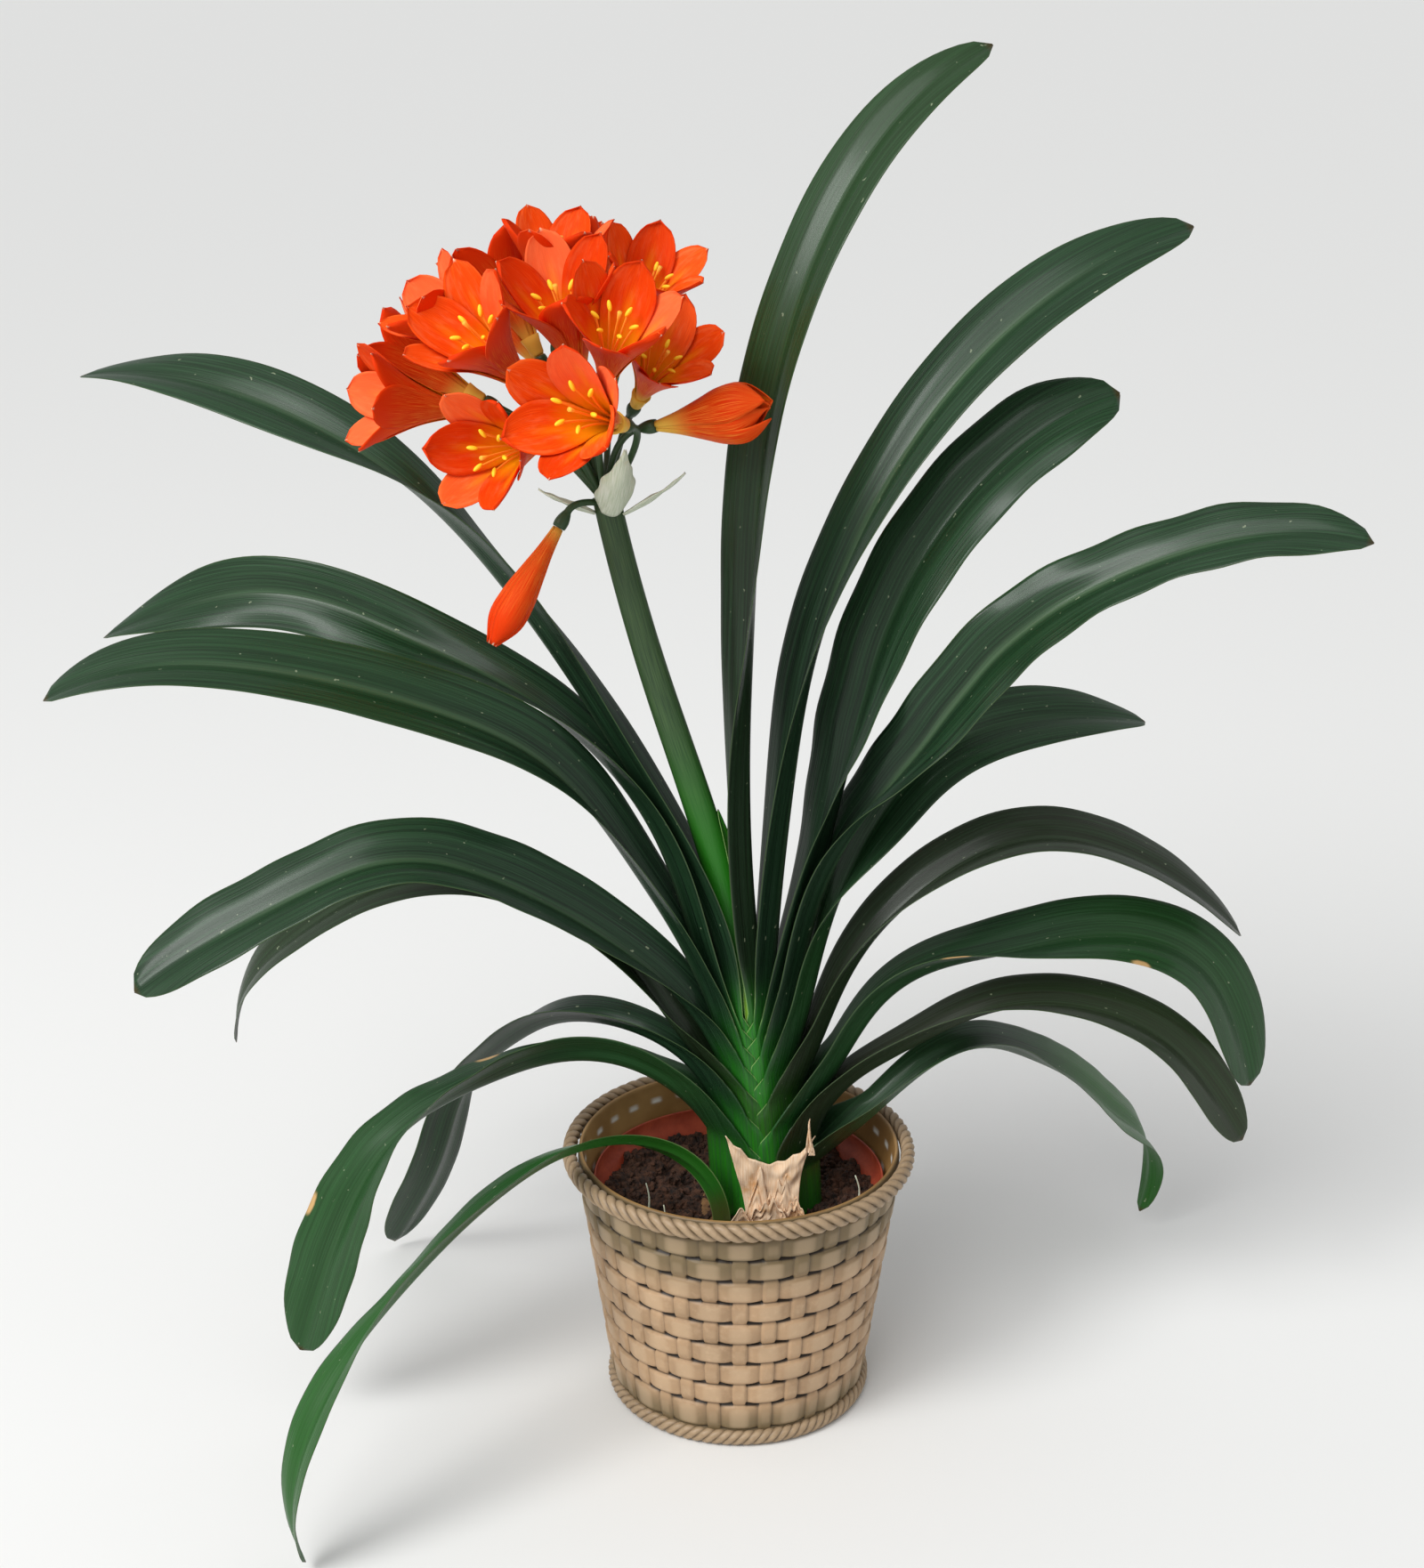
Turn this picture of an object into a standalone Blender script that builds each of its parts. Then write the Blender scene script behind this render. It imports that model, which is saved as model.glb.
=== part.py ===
"""A potted clivia: a fan of strap leaves and a head of funnel flowers.

It grows in a nursery pot, which stands in a cachepot moulded to look like a basket.

Metres, +Z up. The origin is the centre of the cachepot's flat underside. The leaves fan out along X,
and -Y is the front. Angles in the tables are degrees: azimuths turn from +X towards +Y.
"""

import math
from collections import namedtuple

import bmesh
import bpy
import numpy as np
from mathutils import Vector

# Clearance between pieces that touch, and the length under which a floret's edges are merged
GAP = 0.0003
SLIVER = 0.0002

# Cachepot: a moulded basket weave between two rope rims
POT_COLUMNS = 64
POT_RIM_TOP = 0.146
POT_FLOOR = 0.004
POT_INNER_FOOT = 0.0635
POT_INNER_RIM = 0.084
UNDERSIDE_RADIUS = 0.066
WALL_FOOT_RADIUS = 0.0685
WALL_RIM_RADIUS = 0.0865
WEAVE_BOTTOM = 0.009
WEAVE_TOP = 0.137
BOTTOM_ROW_HEIGHT = 0.018
WEAVE_ROWS = 9
WEFT_OVER = 0.0014
STAKE_FACE = 0.0002
WEFT_BETWEEN = 0.0004
GROOVE = -0.0012
ROPE_RELIEF = 0.0005
FOOT_ROPE = (0.0690, 0.0046, 0.0030, 0.0043)
RIM_ROPE = (0.0915, 0.1405, 0.0036, 0.0055)

# Nursery pot: a thin plastic pot with a banded rim
NURSERY_SIDES = 32
NURSERY_RIM_TOP = 0.126
NURSERY_BAND_BOTTOM = 0.117
NURSERY_BAND_RADIUS = 0.0785
NURSERY_TOP_RADIUS = 0.0755
NURSERY_FOOT_RADIUS = 0.056
NURSERY_WALL = 0.0012

# Soil and the crown that stands in its plain hole
SOIL_SIDES = 32
SOIL_EDGE = 0.1115
SOIL_MOUND = 0.1045
SOIL_LUMP = 0.0010
CROWN_CENTRE = 0.014
CROWN_BOTTOM = 0.084
CROWN_TOP = 0.1057
CROWN_REACH = 0.0345
CROWN_HALF_DEPTH = 0.0268
CROWN_ROUNDNESS = 3.6

# Fan of nested sheaths: order 0 is the flower stalk in its heart
SHEATH_FOOT = CROWN_TOP + GAP
SHEATH_WALL = 0.00065
LINE_LEAN = 0.04
LINE_BEND = 0.4
FIRST_REACH = 0.0070
REACH_STEP = 0.0014
YOUNG_INSET = 0.0004
FIRST_HALF_GAP = 0.0052
HALF_GAP_STEP = 0.0010
KEEL = 1.0
HEART_HEIGHT = 0.228
CROSS_DROP = 0.0021
CROSS_DROP_GROWTH = 0.00023
MARGIN_SLOPE = 0.9
FIRST_OVERLAP = 0.0012
OVERLAP_STEP = 0.00022
NECK_DEPTH = 0.009
OPENING_LENGTH = 0.045

# Leaf blades
BLADE_STATIONS = (0.14, 0.28, 0.43, 0.58, 0.72, 0.84, 0.94, 1)
FRONT_STATIONS = (0, 0.04, 0.09, 0.15, 0.22)
NECK_WIDTH = 0.70
CHANNEL = 6
TURN_SHARE = 0.4
WIDENING_SHARE = 0.45
FOLD = (45, 32, 16, 8)
YOUNG_FOLD = (45, 42, 40, 40)
FRONT_FOLD = (0, 16, 14, 8)
FRONT_FOOT = (-0.009, -0.0234, SHEATH_FOOT)

Leaf = namedtuple("Leaf", "name order heading climb length width twist tip")

# Climb is the midrib's angle above level and twist turns the blade's face to the front, each at
# even stations from where the sheath opens to the tip. Length is the blade's, past its sheath.
# Tip is the share of it that narrows.
LEAVES = (
    Leaf("leaf_young", 1, -7, (97, 99, 103, 111), 0.113, 0.014, (0, 17), 0.60),
    Leaf("leaf_right_1", 2, 20, (98, 93, 88, 87, 73, 55, 22), 0.530, 0.042, (0, -12, 11, 18, 32), 0.25),
    Leaf("leaf_left_1", 3, 155, (87, 63, 54, 45, 25, 9, -11), 0.545, 0.042, (0, -14, -31, 31, 5), 0.20),
    Leaf("leaf_right_2", 4, 14, (88, 85, 81, 67, 53, 34, 12), 0.495, 0.044, (0, -4, 13, 29, 33), 0.22),
    Leaf("leaf_left_2", 5, 162, (70, 73, 45, 22, 17, -15, -27), 0.470, 0.040, (0, -13, 17, 77, 13), 0.30),
    Leaf("leaf_right_3", 6, 12, (78, 76, 77, 75, 59, 40, 12), 0.395, 0.048, (0, -5, 30, 45, 37), 0.14),
    Leaf("leaf_left_3", 7, 190, (76, 61, 55, 27, 17, 3, -29), 0.440, 0.042, (0, 17, 43, 34, 8), 0.14),
    Leaf("leaf_right_4", 8, -16, (81, 76, 55, 56, 34, 18, -11), 0.445, 0.042, (0, 10, 65, 36, 32), 0.20),
    Leaf("leaf_left_4", 9, 192, (68, 44, 34, 21, -19, -26, -36), 0.360, 0.046, (0, 37, 32, 27, 36), 0.20),
    Leaf("leaf_right_5", 10, 26, (76, 78, 65, 45, 11, -6, -17), 0.325, 0.038, (0, -10, 60, 47, 14), 0.30),
    Leaf("leaf_left_5", 11, 160, (53, 56, 24, -10, -33, -46, -87), 0.390, 0.034, (0, 40, 50, 39, 25), 0.30),
    Leaf("leaf_right_6", 12, 10, (70, 68, 45, 22, -15, -34, -49), 0.335, 0.040, (0, 3, 17, 18, 17), 0.30),
    Leaf("leaf_left_6", 13, 135, (73, 13, -32, -43, -67, -58, -54), 0.365, 0.038, (0, -3, 10, -2, -15), 0.20),
    Leaf("leaf_right_7", 14, 14, (59, 58, 10, 6, -21, -62, -78), 0.355, 0.044, (0, -13, 26, 55, 68), 0.20),
    Leaf("leaf_left_7", 15, 195, (60, 25, -10, -26, -57, -70, -73), 0.325, 0.044,
         (0, -27, -11, 35, 48), 0.20),
    Leaf("leaf_right_8", 16, 8, (82, 35, 24, -4, -27, -52, -61), 0.310, 0.038, (0, -11, 13, 36, 66), 0.25),
    Leaf("leaf_right_9", 17, 46, (40, 37, -22, -33, -42, -46, -130), 0.375, 0.034,
         (0, 5, 35, 47, 12), 0.30),
    Leaf("leaf_left_8", 18, 224, (90, 25, -6, -24, -36, -65, -112), 0.388, 0.032,
         (-90, -39, -28, -40, -10, -27), 0.40),
)

# Flower stalk, from its foot in the heart to the joint of the umbel
STALK_FOOT = (0.0140, 0.0, SHEATH_FOOT)
STALK_HEADING = 166.5
STALK_CLIMB = (88, 84.5, 81.5, 75, 71.5, 74, 78)
STALK_LENGTH = 0.4012
STALK_HALF_WIDTHS = (0.0055, 0.0056, 0.0068, 0.0080, 0.0078, 0.0073, 0.0070)
STALK_FLATNESS = 0.62
STALK_SIDES = 8
UMBEL_JOINT = (-0.067, 0.012, 0.497)

# Florets: funnels of three outer and three inner petals round a short green-based tube
PETAL_FOOT = (0.0018, 0.005)
PETAL_LENGTH = 0.062
PETAL_FLARE = (10, 16, 22, 29, 38)
PETAL_HALF_WIDTHS = (0.0012, 0.0050, 0.0092, 0.0104, 0.0018)
OUTER_WIDTH = 0.85
PETAL_WRAP = 55
PETAL_THICKNESS = 0.0009
WHORL_STEP = 0.0012
TUBE_LENGTH = 0.010
TUBE_RADII = (0.0032, 0.0055)
STAMEN_COUNT = 3
STAMEN_LENGTH = 0.044
STAMEN_LEAN = 0.15
STYLE_LENGTH = 0.052
STYLE_LEAN = 0.02
OVARY_LENGTH = 0.009
OVARY_RADIUS = 0.0036
PEDICEL_RADIUS = 0.0019

Floret = namedtuple("Floret", "name form base azimuth climb")

# Base is where the floret stands on its ovary, in millimetres from the umbel's joint
FLORETS = (
    Floret("floret_01", "open", (11, -39, 43), 246, 16),
    Floret("floret_02", "open", (-26, -19, 31), 240, 5),
    Floret("floret_03", "open", (15, 6, 44), 295, 41),
    Floret("floret_04", "open", (9, 26, 68), 302, 57),
    Floret("floret_05", "open", (-23, 9, 74), 275, 81),
    Floret("floret_06", "open", (-33, 20, 66), 160, 61),
    Floret("floret_07", "open", (-46, -4, 61), 194, 44),
    Floret("floret_08", "open", (-33, -18, 54), 230, 40),
    Floret("floret_09", "open", (-60, 13, 45), 171, 25),
    Floret("floret_10", "open", (-60, -6, 43), 200, 10),
    Floret("floret_11", "open", (-10, -13, 57), 253, 60),
    Floret("floret_12", "open", (1, -37, 57), 286, 50),
    Floret("floret_13", "open", (-17, 33, 64), 83, 54),
    Floret("floret_14", "open", (-32, 36, 56), 123, 32),
    Floret("bud_half_open", "half_open", (26, -20, 39), 337, 13),
    Floret("bud_upright", "closed", (-12, 16, 68), 60, 80),
    Floret("bud_hanging", "closed", (-23, -14, -13), 210, -55),
)

# Papery bracts under the umbel: azimuth, climb, length, width, and how far the foot stands from
# the middle of the flattened stalk, which it touches
BRACT_FOOT = (-0.0651, 0.0115, 0.488)
BRACTS = (
    ("bract_1", 285, 38, 0.028, 0.015, 0.0054),
    ("bract_2", 345, 25, 0.038, 0.006, 0.0077),
    ("bract_3", 183, 14, 0.030, 0.006, 0.0075),
)


def clear_scene():
    for obj in list(bpy.data.objects):
        bpy.data.objects.remove(obj, do_unlink=True)


def finish(name, colour, roughness):
    material = bpy.data.materials.new(name)
    material.use_nodes = True
    shader = material.node_tree.nodes["Principled BSDF"]
    shader.inputs["Base Color"].default_value = (*colour, 1)
    shader.inputs["Roughness"].default_value = roughness
    shader.inputs["Metallic"].default_value = 0
    return material


def add_object(name, points, faces, material, sharp_angle=40):
    """A mesh object whose faces all point out."""
    mesh = bpy.data.meshes.new(name)
    mesh.from_pydata([tuple(p) for p in points], [], faces)
    shell = bmesh.new()
    shell.from_mesh(mesh)
    bmesh.ops.recalc_face_normals(shell, faces=shell.faces)
    shell.to_mesh(mesh)
    shell.free()
    mesh.materials.append(material)
    mesh.shade_smooth()
    mesh.set_sharp_from_angle(angle=math.radians(sharp_angle))
    obj = bpy.data.objects.new(name, mesh)
    bpy.context.scene.collection.objects.link(obj)
    return obj


def along(values, share):
    """A smooth curve through evenly spaced values, read at shares from 0 to 1."""
    values = np.asarray(values, float)
    last = len(values) - 1
    place = np.clip(np.asarray(share, float), 0, 1) * last
    start = np.minimum(place.astype(int), last - 1)
    f = place - start
    padded = np.concatenate([[2 * values[0] - values[1]], values, [2 * values[-1] - values[-2]]])
    a, b, c, d = (padded[start + k] for k in range(4))
    return b + f / 2 * (c - a + f * (2 * a - 5 * b + 4 * c - d + f * (3 * (b - c) + d - a)))


def ease(share):
    share = np.clip(share, 0, 1)
    return share * share * (3 - 2 * share)


def ring_faces(first, second, count):
    """Triangles between two rings of as many points, which start at these indices."""
    faces = []
    for k in range(count):
        after = (k + 1) % count
        faces.append((first + k, first + after, second + after))
        faces.append((first + k, second + after, second + k))
    return faces


def cap_faces(centre, ring, count):
    return [(centre, ring + k, ring + (k + 1) % count) for k in range(count)]


def stack_rings(bottom, rings, top):
    """One closed body from a bottom point, rings of equal count and a top point."""
    count = len(rings[0])
    points = [bottom] + [p for ring in rings for p in ring] + [top]
    faces = cap_faces(0, 1, count)
    for k in range(len(rings) - 1):
        faces += ring_faces(1 + k * count, 1 + (k + 1) * count, count)
    faces += cap_faces(len(points) - 1, 1 + (len(rings) - 1) * count, count)
    return points, faces


def level_ring(radius, height, count):
    angles = [math.tau * k / count for k in range(count)]
    return [(radius * math.cos(a), radius * math.sin(a), height) for a in angles]


def lerp(a, b, share):
    return a + (b - a) * share


def wall_radius(height):
    return lerp(WALL_FOOT_RADIUS, WALL_RIM_RADIUS, (height - WEAVE_BOTTOM) / (WEAVE_TOP - WEAVE_BOTTOM))


def weave_line(step):
    """Ring of points of the weave: even steps are the grooves between rows, odd ones the rows' middles."""
    row = step // 2
    regular = (WEAVE_TOP - WEAVE_BOTTOM - BOTTOM_ROW_HEIGHT) / (WEAVE_ROWS - 1)
    bottom = WEAVE_BOTTOM + (BOTTOM_ROW_HEIGHT + (row - 1) * regular if row else 0)
    height = bottom + (step % 2) * (regular if row else BOTTOM_ROW_HEIGHT) / 2
    ring = []
    for column in range(POT_COLUMNS):
        on_stake = column % 2 == 0
        if step % 2 == 0:
            relief = STAKE_FACE if on_stake else GROOVE
        elif not on_stake:
            relief = WEFT_BETWEEN
        else:
            relief = WEFT_OVER if (column // 2 + row) % 2 == 0 else STAKE_FACE
        angle = math.tau * column / POT_COLUMNS
        radius = wall_radius(height) + relief
        ring.append((radius * math.cos(angle), radius * math.sin(angle), height))
    return ring


def rope_line(rope, section_angle, shift):
    """Ring of points along a rope: its strands show as a relief that shifts from line to line."""
    centre, height, half_width, half_height = rope
    ring = []
    for column in range(POT_COLUMNS):
        relief = ROPE_RELIEF if (column + shift) % 2 == 0 else -ROPE_RELIEF
        out = centre + (half_width + relief) * math.cos(section_angle)
        up = height + (half_height + relief) * math.sin(section_angle)
        angle = math.tau * column / POT_COLUMNS
        ring.append((out * math.cos(angle), out * math.sin(angle), max(up, 0)))
    return ring


def make_cachepot(material):
    rings = [level_ring(UNDERSIDE_RADIUS, 0, POT_COLUMNS)]
    rings += [rope_line(FOOT_ROPE, math.radians(a), k) for k, a in enumerate((-30, 40))]
    rings += [weave_line(step) for step in range(2 * WEAVE_ROWS + 1)]
    rings += [rope_line(RIM_ROPE, math.radians(a), k) for k, a in enumerate((-60, -5, 50, 105))]
    rings.append(level_ring(POT_INNER_RIM, POT_RIM_TOP - 0.004, POT_COLUMNS))
    rings.append(level_ring(POT_INNER_FOOT, POT_FLOOR, POT_COLUMNS))
    points, faces = stack_rings((0, 0, 0), rings, (0, 0, POT_FLOOR))
    return add_object("cachepot", points, faces, material)


def nursery_inner_radius(height):
    """Radius of the nursery pot's inner wall below its banded rim."""
    floor = POT_FLOOR + GAP + NURSERY_WALL
    share = (height - floor) / (NURSERY_BAND_BOTTOM - floor)
    return lerp(NURSERY_FOOT_RADIUS, NURSERY_TOP_RADIUS, share) - NURSERY_WALL


def make_nursery_pot(material):
    foot = POT_FLOOR + GAP
    floor = foot + NURSERY_WALL
    profile = (
        (NURSERY_FOOT_RADIUS, foot),
        (NURSERY_TOP_RADIUS, NURSERY_BAND_BOTTOM),
        (NURSERY_BAND_RADIUS, NURSERY_BAND_BOTTOM),
        (NURSERY_BAND_RADIUS, NURSERY_RIM_TOP),
        (NURSERY_BAND_RADIUS - NURSERY_WALL, NURSERY_RIM_TOP),
        (nursery_inner_radius(NURSERY_BAND_BOTTOM), NURSERY_BAND_BOTTOM),
        (nursery_inner_radius(floor), floor),
    )
    rings = [level_ring(radius, height, NURSERY_SIDES) for radius, height in profile]
    points, faces = stack_rings((0, 0, foot), rings, (0, 0, floor))
    return add_object("nursery_pot", points, faces, material)


def crown_ring(clearance, height, count):
    """The crown's plan, a rounded oblong, grown by a clearance."""
    ring = []
    for k in range(count):
        angle = math.tau * k / count
        c, s = math.cos(angle), math.sin(angle)
        x = math.copysign(abs(c) ** (2 / CROWN_ROUNDNESS), c) * (CROWN_REACH + clearance)
        y = math.copysign(abs(s) ** (2 / CROWN_ROUNDNESS), s) * (CROWN_HALF_DEPTH + clearance)
        ring.append((CROWN_CENTRE + x, y, height))
    return ring


def make_crown(material):
    chamfer = 0.0015
    rings = [
        crown_ring(0, CROWN_BOTTOM + 2 * GAP, SOIL_SIDES),
        crown_ring(0, CROWN_TOP - chamfer, SOIL_SIDES),
        crown_ring(-chamfer / 2, CROWN_TOP, SOIL_SIDES),
    ]
    bottom = (CROWN_CENTRE, 0, CROWN_BOTTOM + 2 * GAP)
    points, faces = stack_rings(bottom, rings, (CROWN_CENTRE, 0, CROWN_TOP))
    return add_object("crown", points, faces, material)


def make_soil(material):
    """Soil that fills the nursery pot, lumpy on top, with a plain hole for the crown."""
    rng = np.random.default_rng(7)
    floor = POT_FLOOR + 2 * GAP + NURSERY_WALL
    rings = [level_ring(nursery_inner_radius(floor) - GAP, floor, SOIL_SIDES)]
    edge = level_ring(nursery_inner_radius(SOIL_EDGE) - 2 * GAP, SOIL_EDGE, SOIL_SIDES)
    hole = crown_ring(GAP, SOIL_MOUND, SOIL_SIDES)
    rings.append(edge)
    for share in (0.3, 0.65):
        lumps = rng.uniform(-SOIL_LUMP, SOIL_LUMP, SOIL_SIDES)
        ring = []
        for outer, inner, lump in zip(edge, hole, lumps):
            x, y, z = (lerp(a, b, share) for a, b in zip(outer, inner))
            ring.append((x, y, z + lump))
        rings.append(ring)
    rings.append(hole)
    rings.append(crown_ring(GAP, CROWN_BOTTOM, SOIL_SIDES))
    points, faces = stack_rings((0, 0, floor), rings, (CROWN_CENTRE, 0, CROWN_BOTTOM))
    return add_object("soil", points, faces, material, sharp_angle=60)


def side_of(leaf):
    return -1 if "left" in leaf.name else 1


def is_front(leaf):
    """Whether this is the outermost leaf, which lies flat against the front of the fan's foot."""
    return leaf.order == len(LEAVES)


def fold_reach(order):
    """How far a sheath's fold stands from the fan's middle line."""
    return FIRST_REACH + REACH_STEP * order - (YOUNG_INSET if order == 1 else 0)


def half_gap(order):
    """Half the width inside a folded sheath, which holds all the younger ones."""
    return FIRST_HALF_GAP + HALF_GAP_STEP * (order - 1)


def crossing_height(order):
    """Height where a sheath's margin crosses the fan's middle line, as one of its chevrons."""
    return HEART_HEIGHT - CROSS_DROP * order - CROSS_DROP_GROWTH * order**2


def sheath_depth(order, distance):
    """How far the folded sheath reaches from its fold past the heart, at a distance from its foot."""
    reach = fold_reach(order)
    slope = reach + MARGIN_SLOPE * (crossing_height(order) - SHEATH_FOOT - distance)
    return np.clip(slope, least_depth(order), reach + FIRST_OVERLAP + OVERLAP_STEP * order)


def least_depth(order):
    return max(NECK_DEPTH, KEEL * half_gap(order) + 0.001)


def opening_distance(order):
    """Distance from the foot at which a sheath begins to open."""
    past_crossing = (fold_reach(order) - least_depth(order)) / MARGIN_SLOPE
    return crossing_height(order) - SHEATH_FOOT + past_crossing


def sheath_length(leaf):
    """Length of the folded part, from the foot to where it starts to open. The front leaf has none."""
    return 0 if is_front(leaf) else opening_distance(leaf.order)


def middle_line(height):
    """The fan's middle line, which leans to the left with height above the feet."""
    return CROWN_CENTRE - LINE_LEAN * height - LINE_BEND * height**2


def opening(leaf, distance):
    """How far the folded sheath has opened into a blade, from 0 to 1."""
    if is_front(leaf):
        return np.ones_like(distance)
    return ease((distance - sheath_length(leaf)) / OPENING_LENGTH)


def blade_half_width(leaf, share):
    """Half the blade's width, measured along its surface, at a share of the blade's length."""
    widening = NECK_WIDTH + (1 - NECK_WIDTH) * ease(share / WIDENING_SHARE)
    into_tip = np.clip((share - 1 + leaf.tip) / leaf.tip, 0, 1)
    rounding = np.sqrt(np.clip(1 - into_tip**2.2, 0, 1))
    return leaf.width / 2 * widening * np.maximum(rounding, 0.06)


def blade_spine(leaf):
    """Closely spaced midrib points of the blade, with each one's directions to the heart and the front."""
    fine = np.linspace(0, 1, 401)
    side = side_of(leaf)
    start = sheath_length(leaf)
    fan = 0 if side > 0 else 180
    climb = np.radians(along(leaf.climb, fine))
    turn = np.radians(fan + (leaf.heading - fan) * ease(fine / TURN_SHARE))
    ahead = np.stack([np.cos(climb) * np.cos(turn), np.cos(climb) * np.sin(turn), np.sin(climb)], 1)
    heart = np.stack([-np.sin(climb) * np.cos(turn), -np.sin(climb) * np.sin(turn), np.cos(climb)], 1)
    front = side * np.cross(ahead, heart)
    first = (middle_line(start) + side * fold_reach(leaf.order), 0, SHEATH_FOOT + start)
    first = np.array(FRONT_FOOT if is_front(leaf) else first)
    steps = (ahead[1:] + ahead[:-1]) / 2 * leaf.length / 400
    spine = np.concatenate([[first], first + np.cumsum(steps, axis=0)])
    opened = opening(leaf, start + fine * leaf.length)[:, None]
    twist = np.radians(along(leaf.twist, fine))[:, None] * opened
    up = lerp(np.array([[-side, 0.0, 0.0]]), heart * np.cos(twist) + front * np.sin(twist), opened)
    up /= np.linalg.norm(up, axis=1)[:, None]
    return spine, up, front * np.cos(twist) - heart * np.sin(twist)


def leaf_spine(leaf, distances):
    """Midrib points at distances from the foot, with their directions to the heart and to the front."""
    side, start = side_of(leaf), sheath_length(leaf)
    spine, up, out = blade_spine(leaf)
    at = [int(round(400 * max(d - start, 0) / leaf.length)) for d in distances]
    points = spine[at]
    for k, distance in enumerate(distances):
        if distance < start:
            points[k] = (middle_line(distance) + side * fold_reach(leaf.order), 0, SHEATH_FOOT + distance)
    return points, up[at], out[at]


def leaf_sections(leaf, distance):
    """Half sections from midrib to margin, as how far out and how far up, at distances from the foot."""
    shares = np.clip((distance - sheath_length(leaf)) / leaf.length, 0, 1)
    gap = half_gap(leaf.order)
    folds = FRONT_FOLD if is_front(leaf) else YOUNG_FOLD if leaf.order == 1 else FOLD
    fold = np.radians(along(folds, shares))
    channel = math.radians(CHANNEL)
    half = blade_half_width(leaf, shares) / 2
    blade_corner = np.stack([half * np.cos(fold + channel), half * np.sin(fold + channel)], 1)
    blade_margin = blade_corner + np.stack([half * np.cos(fold - channel), half * np.sin(fold - channel)], 1)
    depth = sheath_depth(leaf.order, distance)
    flat = np.ones_like(depth)
    sheath_corner = np.stack([gap * flat, KEEL * gap * flat], 1)
    sheath_margin = np.stack([gap * flat, depth], 1)
    opened = opening(leaf, distance)[:, None]
    return lerp(sheath_corner, blade_corner, opened), lerp(sheath_margin, blade_margin, opened)


def leaf_stations(leaf):
    """Distances from the foot, closer together where the sheath narrows and opens."""
    start = sheath_length(leaf)
    if is_front(leaf):
        opening_steps = [leaf.length * share for share in FRONT_STATIONS]
    else:
        overlap = FIRST_OVERLAP + OVERLAP_STEP * leaf.order
        narrowing = crossing_height(leaf.order) - SHEATH_FOOT - overlap / MARGIN_SLOPE
        opening_steps = [0, narrowing] + [start + OPENING_LENGTH * k / 3 for k in range(4)]
    rest = start + leaf.length - opening_steps[-1]
    return np.array(opening_steps + [opening_steps[-1] + rest * share for share in BLADE_STATIONS])


def leaf_surface(leaf):
    """Grid of points, five across, on the side of the leaf that faces the heart."""
    distances = leaf_stations(leaf)
    spine, up, out = leaf_spine(leaf, distances)
    corner, margin = leaf_sections(leaf, distances)
    front_margin = spine + out * margin[:, :1] + up * margin[:, 1:]
    front_corner = spine + out * corner[:, :1] + up * corner[:, 1:]
    back_corner = spine - out * corner[:, :1] + up * corner[:, 1:]
    back_margin = spine - out * margin[:, :1] + up * margin[:, 1:]
    return np.stack([front_margin, front_corner, spine, back_corner, back_margin], 1)


def grid_triangles(stations, across, flip):
    faces = []
    for i in range(stations - 1):
        for j in range(across - 1):
            a = i * across + j
            b = a + across
            corners = ((a, a + 1, b + 1), (a, b + 1, b))
            faces += [face[::-1] if flip else face for face in corners]
    return faces


def make_leaf(leaf, material):
    grid = leaf_surface(leaf)
    stations, across, _ = grid.shape
    mesh = bpy.data.meshes.new(leaf.name)
    faces = grid_triangles(stations, across, side_of(leaf) > 0)
    mesh.from_pydata([tuple(p) for p in grid.reshape(-1, 3)], [], faces)
    mesh.materials.append(material)
    mesh.shade_smooth()
    obj = bpy.data.objects.new(leaf.name, mesh)
    bpy.context.scene.collection.objects.link(obj)
    wall = obj.modifiers.new("blade", "SOLIDIFY")
    wall.thickness = SHEATH_WALL
    wall.offset = -1
    wall.use_even_offset = True
    return obj


def make_dry_sheath(material):
    """The papery remains of an old leaf, which still hug the front of the fan's foot."""
    outermost = len(LEAVES) - 1
    face = half_gap(outermost) + SHEATH_WALL + 2 * GAP
    corner = CROWN_CENTRE + fold_reach(outermost) - KEEL * half_gap(outermost) + GAP
    places = ((0.004, -face), (0.011, -face), (0.018, -face), (corner, -face), (corner + 0.005, 0.005 - face))
    heights = (0.026, 0.046, 0.042, 0.023, 0.012)
    inner = [(x, y, SHEATH_FOOT) for x, y in places]
    inner += [(x, y, SHEATH_FOOT + h) for (x, y), h in zip(places, heights)]
    outer = [(x, y - SHEATH_WALL, z) for x, y, z in inner]
    count = len(places)
    faces = grid_triangles(2, count, False)
    faces += [tuple(2 * count + k for k in face[::-1]) for face in faces]
    border = list(range(count)) + list(range(2 * count - 1, count - 1, -1))
    faces += ring_strip(border, 2 * count)
    return add_object("dry_sheath", inner + outer, faces, material)


def ring_strip(border, offset):
    """Triangles that join a border loop to its copy further on in the point list."""
    faces = []
    for a, b in zip(border, border[1:] + border[:1]):
        faces.append((a, a + offset, b + offset))
        faces.append((a, b + offset, b))
    return faces


def direction(azimuth, climb):
    a, c = math.radians(azimuth), math.radians(climb)
    return Vector((math.cos(c) * math.cos(a), math.cos(c) * math.sin(a), math.sin(c)))


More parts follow.
